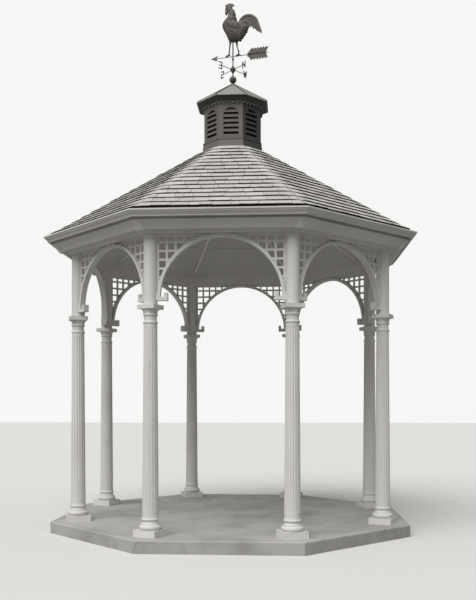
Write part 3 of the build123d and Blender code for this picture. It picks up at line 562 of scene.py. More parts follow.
@dataclass
class CeilingBoards:
    """Narrow grooved boards that line the upper part of the ceiling, level on each of its sides."""

    finish: bpy.types.Material
    outer: float = 1.288
    inner: float = 0.10
    slope: float = 0.589
    width: float = 0.066
    thick: float = 0.007
    groove: float = 0.006
    rib_half: float = 0.0175

    def build(self) -> bpy.types.Object:
        """Lays the boards side by side.

        A board's section hangs under the lining: a flat face between two chamfered edges. The section is
        carried from one hip rib to the next, so its ends follow flat x tan(22.5 degrees) less half a rib.

        Returns:
            The piece.
        """
        low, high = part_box("ceiling")
        count = int((self.outer - self.inner) / self.width)
        index = np.arange(count)
        foot = self.outer - self.width * index
        # Section points as a share of the width and of the thickness, round the board
        across = np.array([0.0, 0.0, self.groove / self.width, 1 - self.groove / self.width, 1.0, 1.0])
        depth = np.array([0.0, 0.35, 1.0, 1.0, 0.35, 0.0])
        flat = foot[:, None] - across[None, :] * (self.width - 0.0008)
        under = low.z + self.slope * (high.x - flat)
        height = under - depth[None, :] * self.thick
        half = flat * HALF_TURN - self.rib_half / math.cos(math.pi / SIDES)
        lateral = np.stack([-half, half], axis=1)
        flat, height = (np.repeat(part[:, None, :], 2, axis=1) for part in (flat, height))
        sides = [turned(flat, lateral, height, bay_angle(side)) for side in range(SIDES)]
        points = np.stack(sides).reshape(-1, 3)
        size = len(across)
        ring = np.arange(size)
        after = (ring + 1) % size
        quads = np.stack([ring, after, after + size, ring + size], axis=1).tolist()
        caps = [ring[::-1].tolist(), (ring + size).tolist()]
        faces = [[v + 2 * size * n for v in face] for n in range(SIDES * count) for face in quads + caps]
        return mesh_piece("ceiling_boards", points, faces, self.finish, "gazebo")


@dataclass
class MitreCaps:
    """Thin strips that cover the mitres of the cornice's cove."""

    finish: bpy.types.Material
    reach: float = 0.060
    thick: float = 0.014
    bury: float = 0.002
    sink: float = 0.0075

    def profile(self) -> np.ndarray:
        """Flat and height of the cove's face, from under the crown to the bed moulding."""
        low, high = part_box("beam")
        head = np.array([high.x + 0.162, low.z + 0.094])
        foot = np.array([high.x + 0.091, low.z + 0.028])
        share = np.linspace(0, 1, 7)[:, None]
        bow = 4 * share * (1 - share) * self.sink * np.array([-0.68, 0.74])
        corner = [[high.x + 0.082, low.z + 0.017], [high.x + 0.030, low.z + 0.015]]
        return np.vstack([head + (foot - head) * share + bow, corner])

    def build(self) -> bpy.types.Object:
        """Lays two strips at each corner, one on each side of the mitre.

        The section follows the cove's face and comes back, thick further out along the face's normal. Its
        ends lie in the mitre, where the sideways place is flat x tan(22.5 degrees), and reach before it.

        Returns:
            The piece.
        """
        face = self.profile()
        normal = np.array([0.62, -0.78])
        ring = np.vstack([face - normal * self.bury, (face + normal * self.thick)[::-1]])
        flat, height = ring.T
        count = len(ring)
        half = flat * HALF_TURN
        index = np.arange(count)
        after = np.roll(index, -1)
        quads = np.stack([index, index + count, after + count, after], axis=1).tolist()
        size = count // 2
        caps = [[i, i + 1, 2 * size - 2 - i, 2 * size - 1 - i] for i in range(size - 1)]
        caps = caps + [[v + count for v in face[::-1]] for face in caps]
        points, faces = [], []
        for side in range(SIDES):
            for way in (-1, 1):
                ends = [half - self.reach, half] if way > 0 else [-half, self.reach - half]
                start = len(points) * 2 * count
                points.append(np.concatenate([turned(flat, end, height, bay_angle(side)) for end in ends]))
                faces += [[v + start for v in face] for face in quads + caps]
        return mesh_piece("mitre_caps", np.concatenate(points), faces, self.finish, "gazebo")


@dataclass
class CupolaShadeLining:
    """Dark boards inside the cupola, behind the louvres; their dark colour is painted shade for the cupola's dark
    inside.
    """

    finish: bpy.types.Material
    flat: float = 0.312
    thick: float = 0.006
    half_width: float = 0.118
    margin: float = 0.03

    def build(self) -> bpy.types.Object:
        """Stands one board behind each louvre panel.

        Returns:
            The piece.
        """
        low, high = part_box("cupola_louvres")
        flats = np.array([self.flat - self.thick, self.flat])
        sides = np.array([-self.half_width, self.half_width])
        levels = np.array([low.z - self.margin, high.z - self.margin])
        flat, lateral, height = (part.ravel() for part in np.meshgrid(flats, sides, levels, indexing="ij"))
        points = np.concatenate([turned(flat, lateral, height, bay_angle(side)) for side in range(SIDES)])
        block = [[0, 1, 3, 2], [4, 6, 7, 5], [0, 4, 5, 1], [2, 3, 7, 6], [0, 2, 6, 4], [1, 5, 7, 3]]
        faces = [[v + 8 * n for v in face] for n in range(SIDES) for face in block]
        return mesh_piece("cupola_shade_lining", points, faces, self.finish, "gazebo")


@dataclass
class FriezeEdging:
    """Half-round edging that follows the scalloped foot of the cupola's frieze."""

    finish: bpy.types.Material
    pitch: float = 0.063
    arches: int = 5
    arch_width: float = 0.054
    arch_height: float = 0.031
    radius: float = 0.0070
    points_per_arch: int = 13

    def build(self) -> bpy.types.Object:
        """Carries a half-round along half ellipses that are joined by short level pieces.

        Returns:
            The piece.
        """
        low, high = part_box("cupola_frieze")
        half = high.x * HALF_TURN
        turn = np.linspace(math.pi, 0, self.points_per_arch)
        centres = self.pitch * (np.arange(self.arches) - (self.arches - 1) / 2)
        x = (centres[:, None] + self.arch_width / 2 * np.cos(turn)[None, :]).ravel()
        z = np.tile(self.arch_height * np.sin(turn), self.arches)
        x = np.concatenate([[-half], x, [half]])
        z = np.concatenate([[0.0], z, [0.0]]) + self.radius
        tangent = np.stack([np.gradient(x), np.gradient(z)], axis=1)
        tangent /= np.linalg.norm(tangent, axis=1, keepdims=True)
        section = np.linspace(0, math.pi, 7)
        side, out = self.radius * np.cos(section), self.radius * np.sin(section)
        lateral = x[:, None] - tangent[:, 1:] * side[None, :]
        height = low.z + z[:, None] + tangent[:, :1] * side[None, :]
        flat = high.x - 0.001 + np.broadcast_to(out, lateral.shape)
        points = np.concatenate([turned(flat, lateral, height, bay_angle(n)).reshape(-1, 3) for n in range(SIDES)])
        size, count = len(section), len(x)
        index = np.arange(count * size).reshape(count, size)
        beside = np.roll(index, -1, axis=1)
        quads = np.stack([index[:-1], beside[:-1], beside[1:], index[1:]], axis=-1).reshape(-1, 4).tolist()
        caps = [index[0, ::-1].tolist(), index[-1].tolist()]
        faces = [[v + n * count * size for v in face] for n in range(SIDES) for face in quads + caps]
        return mesh_piece("frieze_edging", points, faces, self.finish, "gazebo")


# Weathervane


@dataclass
class Shell:
    """Vertices and faces of one closed surface."""

    points: np.ndarray
    faces: list[list[int]]


def curve(knots: Sequence[Sequence[float]], count: int) -> np.ndarray:
    """Even Catmull-Rom curve through rows of numbers: the cubic that leaves each knot along its neighbours' chord."""
    rows = np.asarray(knots, float)
    ends = np.vstack([2 * rows[0] - rows[1], rows, 2 * rows[-1] - rows[-2]])
    place = np.linspace(0, len(rows) - 1, count)
    start = np.minimum(place.astype(int), len(rows) - 2)
    t = (place - start)[:, None]
    before, first, second, after = (ends[start + n] for n in range(4))
    linear = (second - before) * t
    square = (2 * before - 5 * first + 4 * second - after) * t ** 2
    cube = (3 * first - before - 3 * second + after) * t ** 3
    return 0.5 * (2 * first + linear + square + cube)


def loft(knots: Sequence[Sequence[float]], rings: int, segments: int, relief: "np.ndarray | None" = None,
         facing: tuple[float, float] | None = None) -> Shell:
    """Closed surface carried along a path in the vane's upright plane.

    A ring at each station is path + across x in-plane half size x cos(angle) + sideways x half width x
    sin(angle). The relief, in millimetres, is added to both half sizes. The first and last stations are poles.

    Args:
        knots: Rows of x, z, in-plane half size, half width and sideways place, in millimetres.
        rings: Number of rings between the poles.
        segments: Number of vertices in a ring.
        relief: Height over the surface for each ring and vertex, or None.
        facing: Fixed direction of a ring's in-plane axis, or None for square to the path.

    Returns:
        The closed surface in the vane's plane, in millimetres, faces outwards.
    """
    rows = curve(knots, rings + 2)
    tangent = np.gradient(rows[:, :2], axis=0)
    tangent /= np.linalg.norm(tangent, axis=1, keepdims=True)
    across = np.column_stack([-tangent[:, 1], tangent[:, 0]])
    if facing is not None:
        across = np.tile(np.asarray(facing, float), (len(rows), 1))
    angle = np.linspace(0, 2 * np.pi, segments, endpoint=False)
    raised = np.zeros((rings, segments)) if relief is None else relief
    inner = slice(1, -1)
    size = np.maximum(rows[inner, 2, None], 0.2) + raised
    width = np.maximum(rows[inner, 3, None], 0.2) + raised
    x = rows[inner, 0, None] + across[inner, 0, None] * size * np.cos(angle)
    z = rows[inner, 1, None] + across[inner, 1, None] * size * np.cos(angle)
    y = rows[inner, 4, None] + width * np.sin(angle)
    ring = np.stack([x, y, z], axis=-1).reshape(-1, 3)
    poles = rows[[0, -1]][:, [0, 4, 1]]
    points = np.vstack([ring, poles])
    number = np.arange(rings * segments).reshape(rings, segments)
    beside = np.roll(number, -1, axis=1)
    quads = np.stack([number[:-1], beside[:-1], beside[1:], number[1:]], axis=-1).reshape(-1, 4)
    start, end = rings * segments, rings * segments + 1
    fans = [[start, b, a] for a, b in zip(number[0].tolist(), beside[0].tolist())]
    fans += [[end, a, b] for a, b in zip(number[-1].tolist(), beside[-1].tolist())]
    corner = points[quads] - points.mean(axis=0)
    volume = np.einsum("ij,ij->", corner[:, 0], np.cross(corner[:, 1], corner[:, 2]))
    volume += np.einsum("ij,ij->", corner[:, 0], np.cross(corner[:, 2], corner[:, 3]))
    faces = quads.tolist() + fans
    return Shell(points, [face[::-1] for face in faces] if volume < 0 else faces)


def plumage(rings: int, segments: int, rows: float, columns: int, lift: float, point: float) -> np.ndarray:
    """Height of overlapping feathers on a loft.

    Down the loft each row of feathers rises from its roots to its tips by lift. A tip reaches 1 + point x
    (1 - |distance from the feather's middle|) rows, neighbouring rows are set off by half a feather, and an
    upper row lies over a lower one. A ridge runs down the middle of each feather.

    Args:
        rings: Number of rings of the loft.
        segments: Number of vertices in a ring.
        rows: Rows of feathers down the loft.
        columns: Feathers round the loft.
        lift: Height of a feather's tip, in millimetres.
        point: How far a tip's middle runs on, in rows.

    Returns:
        Height for each ring and vertex, in millimetres.
    """
    u = np.linspace(0, rows, rings)[:, None]
    v = np.linspace(0, columns, segments, endpoint=False)[None, :]
    heights = []
    for back in (1, 0):
        row = np.floor(u) - back
        side = np.abs(2 * ((v + 0.5 * (row % 2)) % 1) - 1)
        reach = u - row
        tip = 1 + point * (1 - side ** 2)
        shape = lift * (reach / (1 + point)) * (1 - 0.35 * side ** 2) + 0.22 * lift * np.exp(-(side / 0.12) ** 2)
        heights.append(np.where(reach <= tip, shape, -1.0))
    return np.where(heights[0] >= 0, heights[0], np.maximum(heights[1], 0))


def feather(root: tuple[float, float], tip: tuple[float, float], bow: float, width: float, side: float) -> Shell:
    """A stiff flight feather: a lens in section, with a rib, that bows away from its chord.

    Args:
        root: Place of the root, in millimetres in the vane's plane.
        tip: Place of the tip.
        bow: Sag of the feather across its chord.
        width: Half width.
        side: Sideways place of the root; the feather closes in towards its tip as an ellipse does.

    Returns:
        The feather's surface.
    """
    start, end = np.array(root), np.array(tip)
    chord = end - start
    across = np.array([-chord[1], chord[0]]) / np.hypot(*chord)
    share = np.array([0.0, 0.2, 0.5, 0.8, 0.95, 1.0])
    size = width * np.array([0.35, 0.7, 1.0, 0.95, 0.55, 0.05])
    knots = [
        (*(start + chord * s + across * bow * 4 * s * (1 - s)), w, 2.6 - 1.2 * s, side * math.sqrt(1 - (0.96 * s) ** 2))
        for s, w in zip(share, size)
    ]
    angle = np.linspace(0, 2 * np.pi, 12, endpoint=False)
    rib = 1.6 * np.exp(-(np.cos(angle) / 0.3) ** 2)[None, :] * np.ones((14, 1))
    return loft(knots, 14, 12, rib * 0.6)


@dataclass
class Weathercock:
    """Beaten metal rooster of the vane, feathered in relief, in place of its plain solid."""

    finish: bpy.types.Material
    turn: float = math.radians(-13.4)
    foot_rise: float = 0.002

    def place(self, shells: Sequence[Shell]) -> tuple[np.ndarray, list[list[int]]]:
        """Joins surfaces and turns them from the vane's plane into the frame.

        Args:
            shells: Surfaces in millimetres, x towards the tail, y sideways and z up from the arrow.

        Returns:
            Points in metres, and faces.
        """
        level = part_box("rooster")[0].z - self.foot_rise
        starts = np.cumsum([0] + [len(shell.points) for shell in shells])
        faces = [[v + int(start) for v in face] for shell, start in zip(shells, starts) for face in shell.faces]
        x, y, z = np.concatenate([shell.points for shell in shells]).T * 0.001
        cosine, sine = math.cos(self.turn), math.sin(self.turn)
        return np.column_stack([x * cosine - y * sine, x * sine + y * cosine, z + level]), faces

    def piece(self, name: str, shells: Sequence[Shell], finish: bpy.types.Material | None = None) -> bpy.types.Object:
        """Makes one piece that turns with the vane."""
        points, faces = self.place(shells)
        return mesh_piece(name, points, faces, finish or self.finish, "vane", True)

    def body(self) -> list[Shell]:
        """Breast, belly and saddle in one feathered loft."""
        knots = [
            (-153, 446, 1, 1, 0), (-148, 445, 26, 18, 0), (-138, 440, 46, 34, 0), (-122, 436, 74, 50, 0),
            (-103, 430, 98, 60, 0), (-84, 418, 130, 66, 0), (-60, 402, 168, 72, 0), (-25, 388, 178, 78, 0),
            (15, 366, 164, 80, 0), (50, 345, 142, 76, 0), (80, 334, 129, 70, 0), (112, 329, 108, 60, 0),
            (138, 333, 86, 48, 0), (163, 340, 65, 36, 0), (185, 348, 46, 24, 0), (202, 356, 27, 13, 0),
            (212, 362, 1, 1, 0),
        ]
        return [loft(knots, 150, 132, plumage(150, 132, 9, 30, 5.0, 0.45), (0, 1))]

    def neck(self) -> list[Shell]:
        """Cape of long pointed feathers that falls from the head over the breast."""
        knots = [
            (-52, 724, 1, 1, 0), (-52, 716, 30, 20, 0), (-53, 694, 45, 27, 0), (-52, 676, 44, 29, 0),
            (-42, 658, 45, 30, 0), (-32, 643, 45, 31, 0), (-24, 626, 45, 33, 0), (-19, 608, 47, 38, 0),
            (-16, 590, 48, 44, 0), (-15, 572, 50, 51, 0), (-16, 552, 53, 59, 0), (-12, 532, 56, 66, 0),
            (-8, 512, 56, 73, 0), (-4, 494, 56, 80, 0), (0, 480, 54, 84, 0), (2, 474, 1, 1, 0),
        ]
        relief = plumage(120, 108, 4.6, 24, 7.0, 0.75)
        relief[:34] *= 0.15
        return [loft(knots, 120, 108, relief, (1, 0))]

    def head(self) -> list[Shell]:
        """Face, beak, comb, wattles, ear lobes and eyes."""
        comb = [(-108, 700, 1, 1, 0), (-101, 712, 16, 5, 0), (-88, 721, 21, 6, 0), (-68, 726, 22, 7, 0),
                (-42, 727, 23, 7, 0), (-18, 721, 21, 6, 0), (1, 713, 17, 5, 0), (14, 705, 10, 3, 0), (25, 695, 1, 1, 0)]
        station = np.linspace(0, 1, 60)[:, None]
        angle = np.linspace(0, 2 * np.pi, 16, endpoint=False)[None, :]
        teeth = -5.0 * np.abs(np.sin(5.5 * np.pi * station)) ** 0.7 * np.maximum(-np.cos(angle), 0) ** 2
        shells = [
            loft(comb, 60, 16, teeth),
            loft([(-78, 688, 1, 1, 0), (-88, 686, 15, 12, 0), (-101, 684, 11, 8, 0), (-112, 678, 6, 4, 0),
                  (-117, 669, 1, 1, 0)], 14, 14),
            loft([(-78, 674, 1, 1, 0), (-88, 671, 10, 10, 0), (-102, 667, 7, 6, 0), (-111, 661, 1, 1, 0)], 10, 12),
        ]
        for side in (-1, 1):
            shells += [
                loft([(-84, 672, 1, 1, 5 * side), (-91, 656, 15, 5, 8 * side), (-96, 634, 17, 6, 10 * side),
                      (-98, 611, 16, 6, 9 * side), (-98, 597, 9, 4, 8 * side), (-97, 589, 1, 1, 8 * side)], 20, 14),
                loft([(-50, 682, 1, 1, 24 * side), (-51, 672, 9, 5, 26 * side), (-53, 658, 10, 5, 27 * side),
                      (-54, 646, 1, 1, 26 * side)], 12, 12),
                loft([(-77, 696, 1, 1, 20 * side), (-74, 695, 5, 4, 22 * side), (-68, 694, 6, 5, 23 * side),
                      (-62, 693, 5, 4, 24 * side), (-59, 693, 1, 1, 24 * side)], 10, 12),
            ]
        return shells

    def wings(self) -> list[Shell]:
        """Feathered shoulder and a fan of flight feathers on each side."""
        shells = []
        for side in (-1, 1):
            shoulder = [(-74, 470, 1, 1, 58 * side), (-62, 462, 26, 14, 62 * side), (-30, 444, 52, 22, 68 * side),
                        (15, 418, 62, 24, 70 * side), (65, 386, 54, 20, 66 * side), (105, 360, 34, 13, 58 * side),
                        (128, 346, 1, 1, 52 * side)]
            shells.append(loft(shoulder, 90, 72, plumage(90, 72, 6, 16, 4.0, 0.4)))
            share = np.linspace(0, 1, 6)
            roots = np.column_stack([10 + 44 * share, 344 + 60 * share])
            tips = [(113, 207), (139, 235), (163, 262), (184, 288), (208, 318), (219, 348)]
            for number, (root, tip) in enumerate(zip(roots, tips)):
                shells.append(feather(tuple(root), tip, 8.0, 19.0, side * (80 - 3.4 * number)))
            roots = np.column_stack([-14 + 48 * share, 350 + 72 * share])
            tips = np.column_stack([60 + 88 * share, 250 + 116 * share])
            for number, (root, tip) in enumerate(zip(roots, tips)):
                shells.append(feather(tuple(root), tuple(tip), 8.0, 17.0, side * (88 - 3 * number)))
        return shells

    def tail(self) -> list[Shell]:
        """Arched sickle feathers, nested between the longest and the shortest."""
        outer = np.array([(80, 440), (88, 484), (110, 517), (150, 550), (204, 565), (262, 556), (312, 525),
                          (346, 480), (362, 424), (374, 372), (391, 320), (420, 268)], float)
        inner = np.array([(140, 372), (148, 386), (157, 398), (167, 407), (178, 412), (189, 413), (199, 410),
                          (207, 404), (214, 396), (220, 387), (225, 376), (228, 364)], float)
        tips = np.array([(420, 268), (366, 296), (338, 328), (312, 338), (286, 372), (260, 372), (240, 368),
                         (226, 360)])
        place = np.linspace(0, 1, len(outer))[:, None]
        taper = np.array([0.8, 1, 1, 1, 1, 1, 1, 1.05, 1.1, 1.0, 0.75, 0.05])
        angle = np.linspace(0, 2 * np.pi, 14, endpoint=False)[None, :]
        station = np.linspace(0, 1, 80)[:, None]
        rib = 1.8 * np.exp(-(np.cos(angle) / 0.25) ** 2) * (1 - 0.6 * station)
        barbs = 0.7 * np.sin(46 * np.pi * station + 2.6 * np.abs(np.cos(angle))) * (1 - np.abs(np.cos(angle)) ** 6)
        shares = np.linspace(0, 1, len(tips) + 1)[:, None, None] ** (1 - 0.5 * place)
        lines = outer * (1 - shares) + inner * shares
        shells = []
        for number, (upper, lower, tip) in enumerate(zip(lines[:-1], lines[1:], tips)):
            size = np.linalg.norm(upper - lower, axis=1) * 0.56 * taper
            middle = upper * 0.46 + lower * 0.54
            middle = middle + (tip - middle[-1]) * place ** 3
            lateral = 3.5 if number % 2 else -3.5
            knots = [(x, z, max(w, 1.0), 3.2, lateral) for (x, z), w in zip(middle, size)]
            shells.append(loft(knots, 80, 14, rib + barbs))
        coverts = [(66, 404, 1, 1, 0), (84, 418, 36, 20, 0), (112, 438, 48, 18, 0), (148, 452, 46, 13, 0),
                   (182, 452, 30, 8, 0), (206, 446, 1, 1, 0)]
        shells.append(loft(coverts, 70, 60, plumage(70, 60, 4, 10, 2.5, 0.6)))
        for number in range(4):
            root, tip = (96 - 4 * number, 372 + 26 * number), (226 + 8 * number, 362 + 12 * number)
            shells.append(feather(root, tip, 20.0 + 10 * number, 15.0, -12.0 if number % 2 else 12.0))
        return shells

    def legs(self) -> list[Shell]:
        """Feathered thighs, scaled shanks, toes and spurs."""
        front = [(-20, 330, 1, 1), (-24, 300, 50, 34), (-28, 262, 38, 28), (-31, 232, 26, 21), (-34, 206, 17, 14),
                 (-36, 185, 13, 11), (-38, 168, 1, 1)]
        back = [(45, 330, 1, 1), (48, 300, 46, 34), (50, 262, 36, 28), (51, 230, 26, 21), (51, 200, 17, 14),
                (52, 180, 13, 11), (54, 162, 1, 1)]
        front_shank = [(-36, 196, 1, 1), (-37, 180, 12, 10), (-41, 155, 10, 9), (-45, 125, 9, 8), (-50, 98, 8, 8),
                       (-50, 66, 8, 8), (-52, 42, 10, 9), (-54, 22, 11, 9), (-54, 8, 1, 1)]
        back_shank = [(52, 190, 1, 1), (53, 172, 12, 10), (57, 150, 10, 9), (61, 125, 8, 8), (67, 104, 8, 8),
                      (75, 84, 8, 8), (78, 60, 8, 8), (79, 40, 10, 9), (79, 22, 11, 9), (79, 8, 1, 1)]
        shells = []
        for thigh, shank, side, reaches in ((front, front_shank, -1, (-58, -44, -40, 26)),
                                            (back, back_shank, 1, (-53, -38, -36, 44))):
            lateral = 10 * side
            shells.append(loft([(*row, lateral) for row in thigh], 60, 48, plumage(60, 48, 5, 14, 3.0, 0.4)))
            scales = 0.8 * np.abs(np.sin(np.linspace(0, 16 * np.pi, 70)))[:, None] * np.ones((1, 12))
            shells.append(loft([(*row, lateral) for row in shank], 70, 12, scales))
            foot = shank[-1][0]
            for reach, spread in zip(reaches, (2, 22, -18, 2)):
                shells.append(loft([(foot, 30, 1, 1, lateral), (foot + reach * 0.12, 27, 10, 8, lateral),
                                    (foot + reach * 0.5, 15, 7, 6, lateral + spread * 0.6),
                                    (foot + reach * 0.85, 9, 5, 5, lateral + spread),
                                    (foot + reach, 6, 1, 1, lateral + spread)], 16, 10))
            shells.append(loft([(foot, 68, 1, 1, lateral), (foot + 6, 69, 6, 5, lateral),
                                (foot + 16, 70, 4, 3, lateral), (foot + 25, 76, 1, 1, lateral)], 10, 8))
        return shells

    def build(self) -> None:
        """Makes the bird's pieces and hides its plain solid."""
        body = self.piece("rooster_body", self.body())
        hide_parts("rooster")
        self.piece("rooster_neck", self.neck())
        self.piece("rooster_head", self.head())
        self.piece("rooster_wings", self.wings())
        self.piece("rooster_tail", self.tail())
        self.piece("rooster_legs", self.legs())


@dataclass
class ArrowFeathering:
    """Quill and barbs in relief on both faces of the arrow's tail."""

    bird: Weathercock
    quill_shade_finish: bpy.types.Material
    start: float = 214.0
    end: float = 478.0
    barbs: tuple[float, float] = (255.0, 40.0)
    tip: tuple[float, float] = (26.0, 91.0)

    def build(self) -> None:
        """Lays a quill along each face, and broad barbs that slant back to the teeth of both edges."""
        quills, blades = [], []
        for side in (-1, 1):
            quills.append(loft([(self.start, 0, 1, 1, 3 * side), (self.start + 26, 0, 7, 3, 3 * side),
                                (self.end - 12, 0, 6, 3, 3 * side), (self.end, 0, 1, 1, 3 * side)], 12, 10))
            for number in range(7):
                x = self.barbs[0] + self.barbs[1] * (number - 1)
                reach = min(self.tip[1], 1.35 * (x + self.tip[0] - self.start))
                for way in (-1, 1):
                    shift = 0.0 if way > 0 else -6.0
                    blades.append(loft([(x - 4, 4 * way, 1, 1, 2.5 * side), (x, 12 * way, 8, 3, 2.5 * side),
                                        (x + self.tip[0] * 0.55 + shift, reach * 0.6 * way, 8, 3, 2.5 * side),
                                        (x + self.tip[0] + shift, reach * way, 1, 1, 2.5 * side)], 12, 8))
        self.bird.piece("arrow_barbs", blades)
        # The quill gets a near-black finish as painted shade.
        self.bird.piece("arrow_quill", quills, self.quill_shade_finish)


# Studio and camera


@dataclass
class Studio:
    """Pale floor and backdrop, soft lamps, and the camera of the photograph."""

    eye: tuple[float, float, float] = (0.764, -11.02, 1.6685)
    yaw: float = 3.6
    lens: float = 47.51
    rise: float = 0.1735
    key: float = 2.55
    overhead: float = 0.5
    side: float = 0.35
    fill: float = 0.12
    sky: float = 0.20
    reach: float = 60.0

    def camera(self) -> None:
        """Level camera with a rising front."""
        data = bpy.data.cameras.new("camera")
        data.lens = self.lens
        data.sensor_width = 36.0
        data.sensor_fit = "AUTO"
        data.shift_y = self.rise
        data.clip_end = 200.0
        camera = bpy.data.objects.new("camera", data)
        camera.location = self.eye
        camera.rotation_euler = (math.radians(90), 0, math.radians(self.yaw))
        bpy.context.scene.collection.objects.link(camera)
        bpy.context.scene.camera = camera

    def lamp(self, name: str, strength: float, azimuth: float, elevation: float, spread: float) -> None:
        """Soft distant lamp.

        Args:
            name: Name of the lamp.
            strength: Strength of the light.
            azimuth: Direction that the light comes from, in degrees from +X.
            elevation: Height of the light over the horizon, in degrees.
            spread: Angle that the lamp fills, in degrees.
        """
        data = bpy.data.lights.new(name, "SUN")
        data.energy = strength
        data.angle = math.radians(spread)
        lamp = bpy.data.objects.new(name, data)
        a, e = math.radians(azimuth), math.radians(elevation)
        towards = Vector((math.cos(a) * math.cos(e), math.sin(a) * math.cos(e), math.sin(e)))
        lamp.rotation_euler = towards.to_track_quat("Z", "Y").to_euler()
        bpy.context.scene.collection.objects.link(lamp)

    def world(self) -> None:
        """Even light on the object, with a pale background for the camera."""
        world = bpy.data.worlds.new("studio")
        world.use_nodes = True
        tree = world.node_tree
        light = tree.nodes["Background"]
        light.inputs["Color"].default_value = (1.0, 0.99, 0.975, 1.0)
        light.inputs["Strength"].default_value = self.sky
        seen = tree.nodes.new("ShaderNodeBackground")
        seen.inputs["Color"].default_value = (0.93, 0.925, 0.915, 1.0)
        rays = tree.nodes.new("ShaderNodeLightPath")
        mix = tree.nodes.new("ShaderNodeMixShader")
        tree.links.new(rays.outputs["Is Camera Ray"], mix.inputs[0])
        tree.links.new(light.outputs[0], mix.inputs[1])
        tree.links.new(seen.outputs[0], mix.inputs[2])
        tree.links.new(mix.outputs[0], tree.nodes["World Output"].inputs["Surface"])
        bpy.context.scene.world = world

    def floor(self) -> None:
        """Wide pale floor under the slab."""
        mesh = bpy.data.meshes.new("floor")
        corners = [(x * self.reach, y * self.reach, 0) for x, y in ((-1, -1), (1, -1), (1, 1), (-1, 1))]
        mesh.from_pydata(corners, [], [(0, 1, 2, 3)])
        floor = bpy.data.objects.new("floor", mesh)
        bpy.context.scene.collection.objects.link(floor)
        material = bpy.data.materials.new("floor")
        material.use_nodes = True
        tree = material.node_tree
        bounce = tree.nodes["Principled BSDF"]
        bounce.inputs["Base Color"].default_value = (0.24, 0.235, 0.228, 1.0)
        bounce.inputs["Roughness"].default_value = 0.9
        seen = tree.nodes.new("ShaderNodeBsdfDiffuse")
        seen.inputs["Color"].default_value = (0.72, 0.71, 0.695, 1.0)
        mix = tree.nodes.new("ShaderNodeMixShader")
        tree.links.new(tree.nodes.new("ShaderNodeLightPath").outputs["Is Camera Ray"], mix.inputs[0])
        tree.links.new(bounce.outputs[0], mix.inputs[1])
        tree.links.new(seen.outputs[0], mix.inputs[2])
        tree.links.new(mix.outputs[0], tree.nodes["Material Output"].inputs["Surface"])
        mesh.materials.append(material)

    def build(self) -> None:
        """Sets the whole studio up."""
        self.camera()
        self.lamp("key", self.key, azimuth=-113, elevation=50, spread=50)
        self.lamp("overhead", self.overhead, azimuth=-90, elevation=80, spread=120)
        self.lamp("side", self.side, azimuth=-170, elevation=25, spread=90)
        self.lamp("fill", self.fill, azimuth=-20, elevation=30, spread=90)
        self.world()
        self.floor()
        bpy.context.scene.view_settings.view_transform = "Standard"


# The whole object


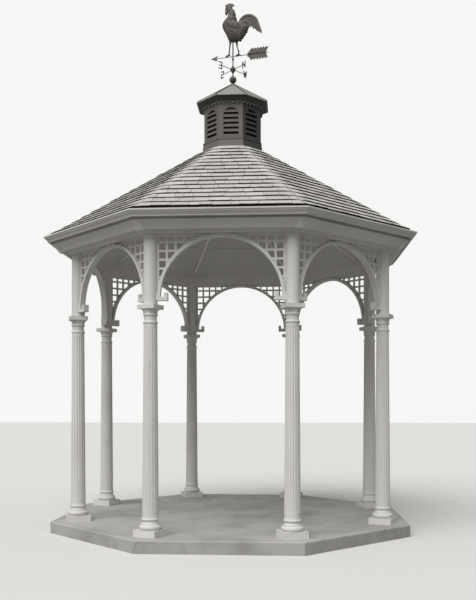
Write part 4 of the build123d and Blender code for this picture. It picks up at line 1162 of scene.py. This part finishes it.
@dataclass
class Finishes:
    """Every finish of the object, made once."""

    trim: bpy.types.Material = field(default_factory=BrushedPaint(
        "white_trim", (0.68, 0.67, 0.65), (0.43, 0.405, 0.375)).build)
    # Ceiling white darker than the trim's white, partly as painted shade under the roof.
    ceiling: bpy.types.Material = field(default_factory=BrushedPaint(
        "ceiling_paint", (0.55, 0.54, 0.525), (0.36, 0.345, 0.325), grain=(30.0, 30.0, 30.0)).build)
    # Cupola paint, darkened on its right-hand faces as painted shade.
    cupola: bpy.types.Material = field(default_factory=BrushedPaint(
        "cupola_paint", (0.118, 0.110, 0.105), (0.205, 0.190, 0.177), dust_amount=0.3, gloss=0.5,
        right_side_shade=(0.030, 0.028, 0.027)).build)
    # Near-black paint on the cupola's cornice and frieze: painted shade for the shadow under the cupola's eave.
    shaded_eaves: bpy.types.Material = field(default_factory=BrushedPaint(
        "cupola_eaves_painted_shade", (0.036, 0.033, 0.032), (0.070, 0.064, 0.060), dust_amount=0.3, gloss=0.5).build)
    edging: bpy.types.Material = field(default_factory=BrushedPaint(
        "edging_paint", (0.24, 0.228, 0.216), (0.16, 0.152, 0.144), grain=(30.0, 30.0, 30.0)).build)
    # Rib paint whiter than the trim's white: painted highlight for the light the ribs catch under the ceiling.
    rib: bpy.types.Material = field(default_factory=BrushedPaint(
        "rib_highlight_paint", (0.80, 0.79, 0.77), (0.52, 0.50, 0.47), grain=(30.0, 30.0, 30.0)).build)
    # Cornice paint with a painted shadow band 17 to 40 mm under the beam's top, the shade of the recess under the
    # crown.
    cornice: bpy.types.Material = field(default_factory=lambda: BrushedPaint(
        "cornice_paint", (0.64, 0.63, 0.61), (0.40, 0.375, 0.345), grain=(30.0, 30.0, 30.0),
        shadow_band=(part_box("beam")[1].z - 0.040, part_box("beam")[1].z - 0.017)).build())
    shingle: bpy.types.Material = field(default_factory=CedarShingle().build)
    sheathing: bpy.types.Material = field(default_factory=RoughBoard().build)
    concrete: bpy.types.Material = field(default_factory=CastStone().build)
    roof_metal: bpy.types.Material = field(default_factory=SheetMetal(
        "roof_metal", (0.36, 0.35, 0.335), (0.26, 0.25, 0.24), metal=0.25, roughness=0.55).build)
    hip_metal: bpy.types.Material = field(default_factory=SheetMetal(
        "hip_metal", (0.10, 0.095, 0.09), (0.17, 0.16, 0.15), metal=0.5, roughness=0.5).build)
    vane_metal: bpy.types.Material = field(default_factory=SheetMetal(
        "vane_metal", (0.090, 0.081, 0.076), (0.150, 0.138, 0.127), metal=0.4, roughness=0.5).build)
    # Near-black quill: painted shade for the deep shadow line along the middle of the arrow's tail.
    quill: bpy.types.Material = field(default_factory=SheetMetal(
        "quill_painted_shade", (0.020, 0.018, 0.017), (0.040, 0.036, 0.033), metal=0.4, roughness=0.6).build)


def dress_nodes(finishes: Finishes) -> None:
    """Gives every CAD node the finish of its slot."""
    dress = {
        "floor_slab": finishes.concrete,
        "roof": finishes.sheathing,
        "cornice": finishes.cornice,
        "ceiling": finishes.ceiling, "ceiling_band": finishes.ceiling,
        "ceiling_ribs": finishes.rib,
        "cupola_cornice": finishes.shaded_eaves, "cupola_frieze": finishes.shaded_eaves,
        "cupola_roof": finishes.roof_metal, "cupola_hips": finishes.hip_metal,
        "finial": finishes.vane_metal, "compass_points": finishes.vane_metal,
        "vane_tube": finishes.vane_metal, "vane_arrow": finishes.vane_metal, "rooster": finishes.vane_metal,
    }
    for name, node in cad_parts.items():
        if name in dress:
            material = dress[name]
        elif name.startswith("cupola"):
            material = finishes.cupola
        else:
            material = finishes.trim
        node.data.materials.clear()
        node.data.materials.append(material)


def main() -> None:
    """Builds the studio and every piece in order."""
    finishes = Finishes()
    Studio().build()
    dress_nodes(finishes)
    ShingleRoof(finishes.shingle).build()
    CeilingBoards(finishes.ceiling).build()
    MitreCaps(finishes.trim).build()
    # Dark boards behind the louvres, as painted shade inside the cupola.
    CupolaShadeLining(finishes.sheathing).build()
    FriezeEdging(finishes.edging).build()
    bird = Weathercock(finishes.vane_metal)
    bird.build()
    ArrowFeathering(bird, finishes.quill).build()


if __name__ == "__main__":
    main()
